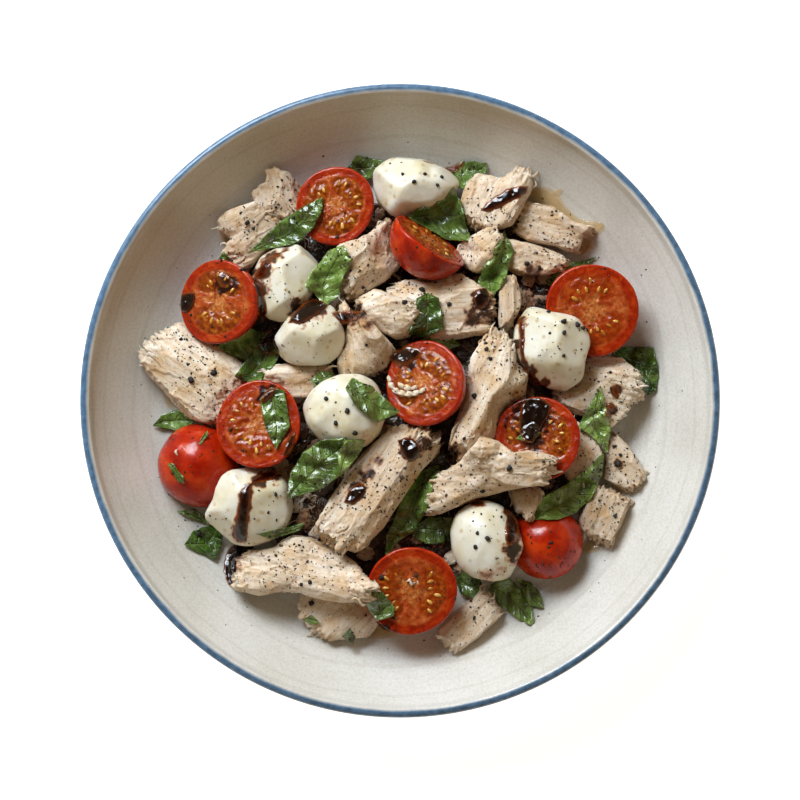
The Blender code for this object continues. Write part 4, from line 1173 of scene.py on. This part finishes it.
# outline from one end round the other, number of the far point, and how thick it lies
glazePatches = (
    (((-80.5, 35), (-79, 39), (-74, 39), (-74, 34), (-78, 30.5)), 2, 1.3),
    (((-67, 45), (-62, 46), (-60, 42), (-62, 39), (-65, 41)), 2, 0.45),
    (((-52, 43), (-52, 46), (-48, 51), (-43, 54), (-39, 54), (-43, 52), (-46, 49), (-48, 43)), 4, 0.6),
    (((-53, 45), (-50, 43), (-48, 36), (-47, 31), (-50, 28), (-52, 36)), 4, 0.8),
    (((-40, 27), (-36, 33), (-31, 37), (-26, 34), (-29, 30), (-35, 26)), 3, 1.2),
    (((-52, 19), (-47, 26), (-42, 28), (-38, 22), (-42, 17), (-49, 16)), 3, 2.4),
    (((-25, 31), (-20, 32), (-13, 31), (-11, 28), (-16, 28), (-21, 26)), 3, 0.6),
    (((28.5, 68.5), (33, 73), (40, 76.8), (46.5, 77.5), (46, 74), (39, 70.6), (32, 67.5)), 3, 0.85),
    (((6, 87), (13, 86), (11, 85)), 1, 0.35), (((13, 85), (20, 87), (24, 88), (23, 85), (17, 83)), 2, 0.4),
    (((27, 33), (26, 37), (28, 40), (31, 40), (33, 36), (30, 32)), 3, 0.9),
    (((43, 32), (45, 24), (44, 16), (47, 10), (52, 5), (48, 5), (43, 12), (42, 24)), 4, 0.85),
    (((-4, 15), (0, 19), (6, 19), (8, 16), (5, 13), (-1, 11)), 3, 0.6),
    (((76, 5), (79, 5), (79, 1), (77, 0)), 2, 0.5), (((75, -1), (78, -2), (75, -7), (73, -6)), 2, 0.5),
    (((-42, -26), (-47, -25), (-51, -27), (-52.5, -32), (-52.5, -38), (-53.5, -43), (-54.5, -51),
      (-59.5, -51), (-58.5, -44), (-57.5, -38),
      (-57.5, -33), (-53, -30.5), (-47, -30)), 6, 0.72),
    (((-62, -67), (-65, -61), (-63, -54), (-58, -50), (-53, -53), (-57, -60), (-58, -66)), 4, 0.9),
    (((-20, -37), (-17.5, -31), (-13, -29.5), (-12, -33), (-15.5, -38)), 3, 1.1),
    (((-1, -15), (3, -13), (7, -16), (7, -21), (4, -23), (1, -21)), 3, 1.0),
    (((24, -37), (28, -35), (31, -38), (28, -39)), 2, 0.9),
    (((38, -39), (41, -41), (43, -46), (41, -51), (38, -53), (37, -50), (37, -45), (38, -42)), 4, 0.75),
    (((28, -61), (33, -62), (31, -64), (28, -63)), 1, 0.35),
    (((45, 0), (51, 1), (55, -3), (50, -11), (47, -16), (43, -15), (42, -9), (43, -3)), 4, 0.9),
    (((-42, -20), (-40, -14), (-37, -11), (-37, -16), (-40, -21)), 2, 0.8),
    (((-50, -1), (-47, 4), (-43, 4), (-46, 0), (-48, -2)), 2, 0.7),
    (((-9, -80), (-5, -79), (-3, -83), (0, -84), (-6, -84)), 3, 0.8),
    (((78, -22), (80, -21), (81, -23), (79, -24)), 2, 0.8),
    (((15, -17), (18, -15), (20, -20), (17, -23)), 2, 0.8),
)
oilPools = (
    (((-67, 64), (-64, 61), (-60, 59), (-62, 55), (-65, 57)), 2, 1.0),
    (((47, 78), (52, 79), (57, 77), (61, 71), (66, 66), (75, 65), (74, 60), (64, 60), (56, 65), (48, 69)),
     5, 1.6),
    (((63, 59), (71, 60), (69, 55), (65, 53)), 2, 1.4),
    (((55.5, 76), (57.5, 78), (60, 76.5), (58, 74)), 2, 2.4),
    (((64, -56), (68, -49), (75, -51), (71, -56)), 2, 1.2),
    (((-87, 3), (-83, 1), (-82, -4), (-86, -2)), 2, 1.0),
    (((-18, -82), (-7, -80), (0, -85), (-7, -87), (-16, -86)), 2, 0.8),
    (((77, -30), (83, -32), (90, -29), (83, -35), (77, -35)), 2, 0.8),
    (((68, 57), (70, 58), (71, 56), (69, 55)), 2, 2.4),
)


def balsamicGlaze():
    # balsamic reduction: a syrup that is near black where it pools and amber where it thins, mirror wet
    look, tree, shader = newLook("balsamicReduction")
    leaf = layerOf(tree, "leaf", "Vector")
    depth = addNode(tree, "SeparateXYZ", {0: leaf}).outputs["Z"]
    place = placeOf(tree)
    uneven = noiseOf(tree, place, 420.0, 3.0)
    reach = mathOf(tree, "MULTIPLY_ADD", uneven, 1.2, depth)
    colour = rampOf(tree, rangeOf(tree, reach, 0.0, 3.6), (0.15, "#A65A14"), (0.28, "#6A2C08"),
                    (0.42, "#321006"), (0.62, "#140503"))
    alpha = rangeOf(tree, reach, 0.4, 1.1)
    swell = noiseOf(tree, place, 260.0, 1.0)
    setUp(tree, shader, {"Roughness": 0.06, "IOR": 1.48, "Coat Weight": 0.4, "Coat Roughness": 0.03,
                         "Base Color": colour, "Alpha": alpha, "Normal": bumpOf(tree, swell, 0.5, 2.4)})
    return look


def oliveOil():
    # olive oil pooled on the glaze: a thin clear yellow film with a bright meniscus
    look, tree, shader = newLook("pooledOliveOil")
    leaf = layerOf(tree, "leaf", "Vector")
    depth = addNode(tree, "SeparateXYZ", {0: leaf}).outputs["Z"]
    alpha = rangeOf(tree, depth, 0.0, 1.6, 0.12, 0.4)
    setUp(tree, shader, {"Base Color": "#E2AE1A", "Roughness": 0.05, "IOR": 1.47, "Coat Weight": 0.4,
                         "Coat Roughness": 0.03, "Alpha": alpha})
    return look


def buildPuddles(name, patches, look, depth, passes, kinds=None):
    g, whole = glazeShape, bmesh.new()
    for number, (outline, tip, thickness) in enumerate(patches):
        bm = flatPatch(outline, tip, g["step"], 0.5, number + 50)[0]
        layOver(bm, passes, g["climb"], kinds)
        leafLayer = bm.verts.layers.float_vector["leaf"]
        for vert in bm.verts:
            rim = vert[leafLayer][2]
            vert[leafLayer] = vert[leafLayer] * min(thickness, 1.0)
            fill = math.sqrt(max(1 - (1 - min(rim / g["shoulder"], 1)) ** 2, 0.0))
            ripples = g["ripples"] * noise.noise(Vector((vert.co.x / mm / 2.4, vert.co.y / mm / 2.4,
                    number)))
            vert.co.z += mm * (thickness * fill * depth * (1 + ripples) - 0.08)
        faceUp(bm)
        bmesh.ops.smooth_vert(bm, verts=[vert for vert in bm.verts if not vert.is_boundary], factor=0.5,
                              use_axis_z=True)
        pourInto(whole, bm)
    addPiece(name, whole, look)


buildPuddles("balsamicPools", glazePatches, balsamicGlaze(), glazeShape["depth"], 10)
buildPuddles("oilPools", oilPools, oliveOil(), 0.3, 2, ("plate",))
print("dressing done")


# cracked pepper

# reach: how far from the middle the ground pepper falls, and the ring of the plate with flecks, in metres;
# patches: how many patches of pepper there are to a metre; wetSkips: share that slides off smooth food
pepperShape = {"specks": 2800, "corns": 32, "flecks": 50, "reach": 0.092, "ring": (0.078, 0.104),
               "patches": 45,
               "wetSkips": 0.6, "cornSize": (1.2, 1.9), "speckSize": (0.32, 0.6)}
# the larger cracked corns: place and size
pepperCorns = (
    (53, 31, 1.5), (58, 27, 1.9), (63, 26, 1.8), (65, 25, 1.6), (66.5, 24.5, 1.5), (58, 23, 1.5),
    (53, 23, 1.1), (58, 15, 1.3),
    (1, 81, 1.2), (5, 78, 1.5), (9, 81, 1.4), (15, 80, 1.3), (13.5, 77, 1.2), (-75, 7, 2.2),
    (-67, 9.5, 2.1), (-55, 64, 1.7), (-53, 62, 1.3),
    (-79, 22, 1.3), (-29.5, 5.5, 1.5), (-26, -0.5, 1.6), (-18.5, -5, 1.8), (-22.5, -9, 1.8),
    (-15.7, -12.7, 1.9), (17.5, 34, 1.6),
    (1.5, 34, 1.8), (30.7, 19.7, 1.4), (26.5, 1, 2.0), (-32, -65, 1.6), (-35, -66, 1.3), (-32, -73, 1.9),
    (31, -49.7, 1.8),
    (26.7, -52.6, 1.6), (27.3, -47.7, 1.3), (38.5, -25, 2.0), (79, -23, 2.4), (77.4, -41.7, 1.4),
    (46, 49.5, 1.6), (-12, 19, 1.2),
)


def crackedPepper():
    # black pepper from a mill: matt dark brown husk with paler broken faces
    look, tree, shader = newLook("crackedBlackPepper")
    tone = layerOf(tree, "tone")
    colour = rampOf(tree, tone, (0.0, "#0E0906"), (0.6, "#2A1A0F"), (1.0, "#6A4C2C"))
    setUp(tree, shader, {"Roughness": 0.65, "Base Color": colour})
    return look


# the curl of chicken on the middle tomato: place, turn in degrees and size of each of its bits
curlBits = (
    (-3.8, 7.0, -72, 0.36), (-3.0, 4.7, -62, 0.46), (-1.4, 2.9, -40, 0.5), (0.9, 1.8, -16, 0.52),
    (3.4, 1.5, 2, 0.5),
    (5.8, 1.9, 16, 0.48), (8.0, 2.8, 32, 0.38), (0.6, 4.6, -38, 0.4), (2.8, 3.6, -8, 0.42),
    (5.2, 3.9, 14, 0.34),
)
# pale crumbs on three other tomatoes
crumbPlaces = ((4.5, -64.5), (5.5, -66), (3.6, -65.4), (-51.7, -3.3), (-79.5, -19))


def buildGarnish():
    extras, crumbs = bmesh.new(), [chunkForm(i) for i in range(8, 11)]
    for x, y, turn, size in curlBits:
        height = topAt(x * planScale, y * planScale, ("tomato", "basil"))[0]
        pose = (poseOf(x * planScale, y * planScale, height + 0.0007, math.radians(turn))
                @ Matrix.Rotation(dice.uniform(-0.3, 0.3), 4, "X")
                @ Matrix.Diagonal((size * 0.95, size * 0.8, size, 1.0)))
        addCopy(extras, dice.choice(crumbs), pose, 0.95, 0.06)
    dropMeshes(crumbs)
    for x, y in crumbPlaces:
        height = topAt(x * planScale, y * planScale)[0]
        pose = poseOf(x * planScale, y * planScale, height + 0.0004,
                      anyTurn()) @ Matrix.Diagonal((0.4, 1.3, 1.3, 1.0))
        addCopy(extras, dice.choice(threadForms), pose, 0.9)
    addPiece("paleShreds", extras, chickenLook)


def buildPepper():
    look, p, heap = crackedPepper(), pepperShape, bmesh.new()
    forms = []
    for i in range(8):
        bm = bmesh.new()
        bmesh.ops.create_icosphere(bm, subdivisions=2 if i < 4 else 1, radius=0.5 * mm)
        for vert in bm.verts:
            vert.co *= 1 + 0.55 * noise.noise(vert.co * 2400 + seedVector(i))
        forms.append(meshOf(bm, "speck"))
    for x, y, size in pepperCorns:
        height = topAt(x * planScale, y * planScale)[0]
        pose = (poseOf(x * planScale, y * planScale, height + 0.00015 * size, anyTurn())
                @ Matrix.Diagonal((size * 1.1, size, size * 0.8, 1)))
        addCopy(heap, dice.choice(forms[:4]), pose, 0.2 * dice.random())
    placed = 0
    while placed < p["specks"] + p["corns"] + p["flecks"]:
        onPlate = placed >= p["specks"] + p["corns"]
        away, turn = (dice.uniform(*p["ring"]) if onPlate
                      else p["reach"] * math.sqrt(dice.random())), anyTurn()
        x, y = away * math.cos(turn), away * math.sin(turn)
        height, normal, kind = topAt(x, y)
        if (kind == "plate") != onPlate or normal.z < 0.35:
            continue
        if not onPlate and noise.noise(Vector((x * p["patches"], y * p["patches"],
                3))) < dice.uniform(-0.35, 0.36):
            continue
        if kind in ("mozzarella", "tomato") and dice.random() < p["wetSkips"]:
            continue
        placed += 1
        big = p["specks"] <= placed < p["specks"] + p["corns"]
        size = (dice.uniform(*p["cornSize"]) if big
                else dice.uniform(*p["speckSize"]) + 0.55 * dice.random() ** 4)
        pose = (poseOf(x, y, height + 0.0001 * size, anyTurn())
                @ Matrix.Rotation(dice.uniform(0, 1.5), 4, "X")
                @ Matrix.Diagonal((size * dice.uniform(0.8, 1.5), size, size * dice.uniform(0.45, 0.9), 1)))
        addCopy(heap, dice.choice(forms[:4] if big else forms[4:]), pose, dice.random() ** 2)
    addPiece("crackedPepperSpecks", heap, look)
    dropMeshes(forms)


buildGarnish()
buildPepper()
print("pepper done")


# floor, light and camera

# height above the horizon in degrees and distance in metres of the camera, lens in mm
studio = {
    "worldColour": "#F0D6AC", "wallStrength": 0.42, "ceilingStrength": 0.08, "cameraHeight": 87.0,
    "cameraAway": 0.75, "lens": 92.3,
    "aim": (0.0, 0.0, 0.020),
}
# soft lights that stand for windows: watts, size, bearing and height in degrees, distance in metres
windows = {
    "window": dict(watts=14.2, size=(0.6, 0.45), turn=119.0, height=40.0, away=1.1,
                   colour=(0.88, 0.95, 1.0)),
    "skylight": dict(watts=2.2, size=(0.22, 0.3), turn=122.0, height=50.0, away=1.0,
                     colour=(0.7, 0.84, 1.0)),
    "lowPane": dict(watts=1.6, size=(0.22, 0.26), turn=140.0, height=16.0, away=1.0,
                    colour=(0.7, 0.84, 1.0)),
}


def buildStudio():
    s = studio
    look, tree, shader = newLook("matPaperSweep")
    # matt white paper, lit a little from within so that it reads as a clean white sweep
    place = placeOf(tree)
    paper = noiseOf(tree, place, 60.0, 4.0)
    tone = rampOf(tree, paper, (0.3, "#F6F6F5"), (0.7, "#FBFBFA"))
    setUp(tree, shader, {"Roughness": 0.9, "Emission Color": "#FFFFFF", "Emission Strength": 0.8,
                         "Base Color": tone})
    bm = bmesh.new()
    bmesh.ops.create_grid(bm, x_segments=4, y_segments=4, size=4.0)
    bmesh.ops.translate(bm, vec=(0, 0, -0.0002), verts=bm.verts)
    mesh = meshOf(bm, "floor")
    mesh.materials.append(look)
    floor = bpy.data.objects.new("floor", mesh)
    scene.collection.objects.link(floor)

    for name, pane in windows.items():
        lamp = bpy.data.lights.new(name, "AREA")
        lamp.shape = "RECTANGLE"
        lamp.size, lamp.size_y = pane["size"]
        lamp.energy = pane["watts"]
        lamp.color = pane["colour"]
        window = bpy.data.objects.new(name, lamp)
        window.location = facingTo(pane["turn"], pane["height"]) * pane["away"]
        window.rotation_euler = window.location.to_track_quat("Z", "Y").to_euler()
        scene.collection.objects.link(window)

    world = bpy.data.worlds.new("room")
    world.use_nodes = True
    # pale walls all round under a dim ceiling, which keeps the wet parts dark from above
    sides = addNode(world.node_tree, "SeparateXYZ",
                    {0: addNode(world.node_tree, "TexCoord").outputs["Generated"]})
    walls = rangeOf(world.node_tree, sides.outputs["Z"], 0.7, 0.9, s["wallStrength"], s["ceilingStrength"])
    setUp(world.node_tree, world.node_tree.nodes["Background"],
          {"Color": s["worldColour"], "Strength": walls})
    scene.world = world

    data = bpy.data.cameras.new("camera")
    data.lens = s["lens"]
    data.sensor_width = 36.0
    camera = bpy.data.objects.new("camera", data)
    tilt = math.radians(s["cameraHeight"])
    camera.location = Vector(s["aim"]) + Vector((0.0, -math.cos(tilt), math.sin(tilt))) * s["cameraAway"]
    camera.rotation_euler = (math.radians(90) - tilt, 0.0, 0.0)
    scene.collection.objects.link(camera)
    scene.camera = camera
    scene.view_settings.view_transform = "Standard"


buildStudio()
dropMeshes(threadForms)
print("studio done")
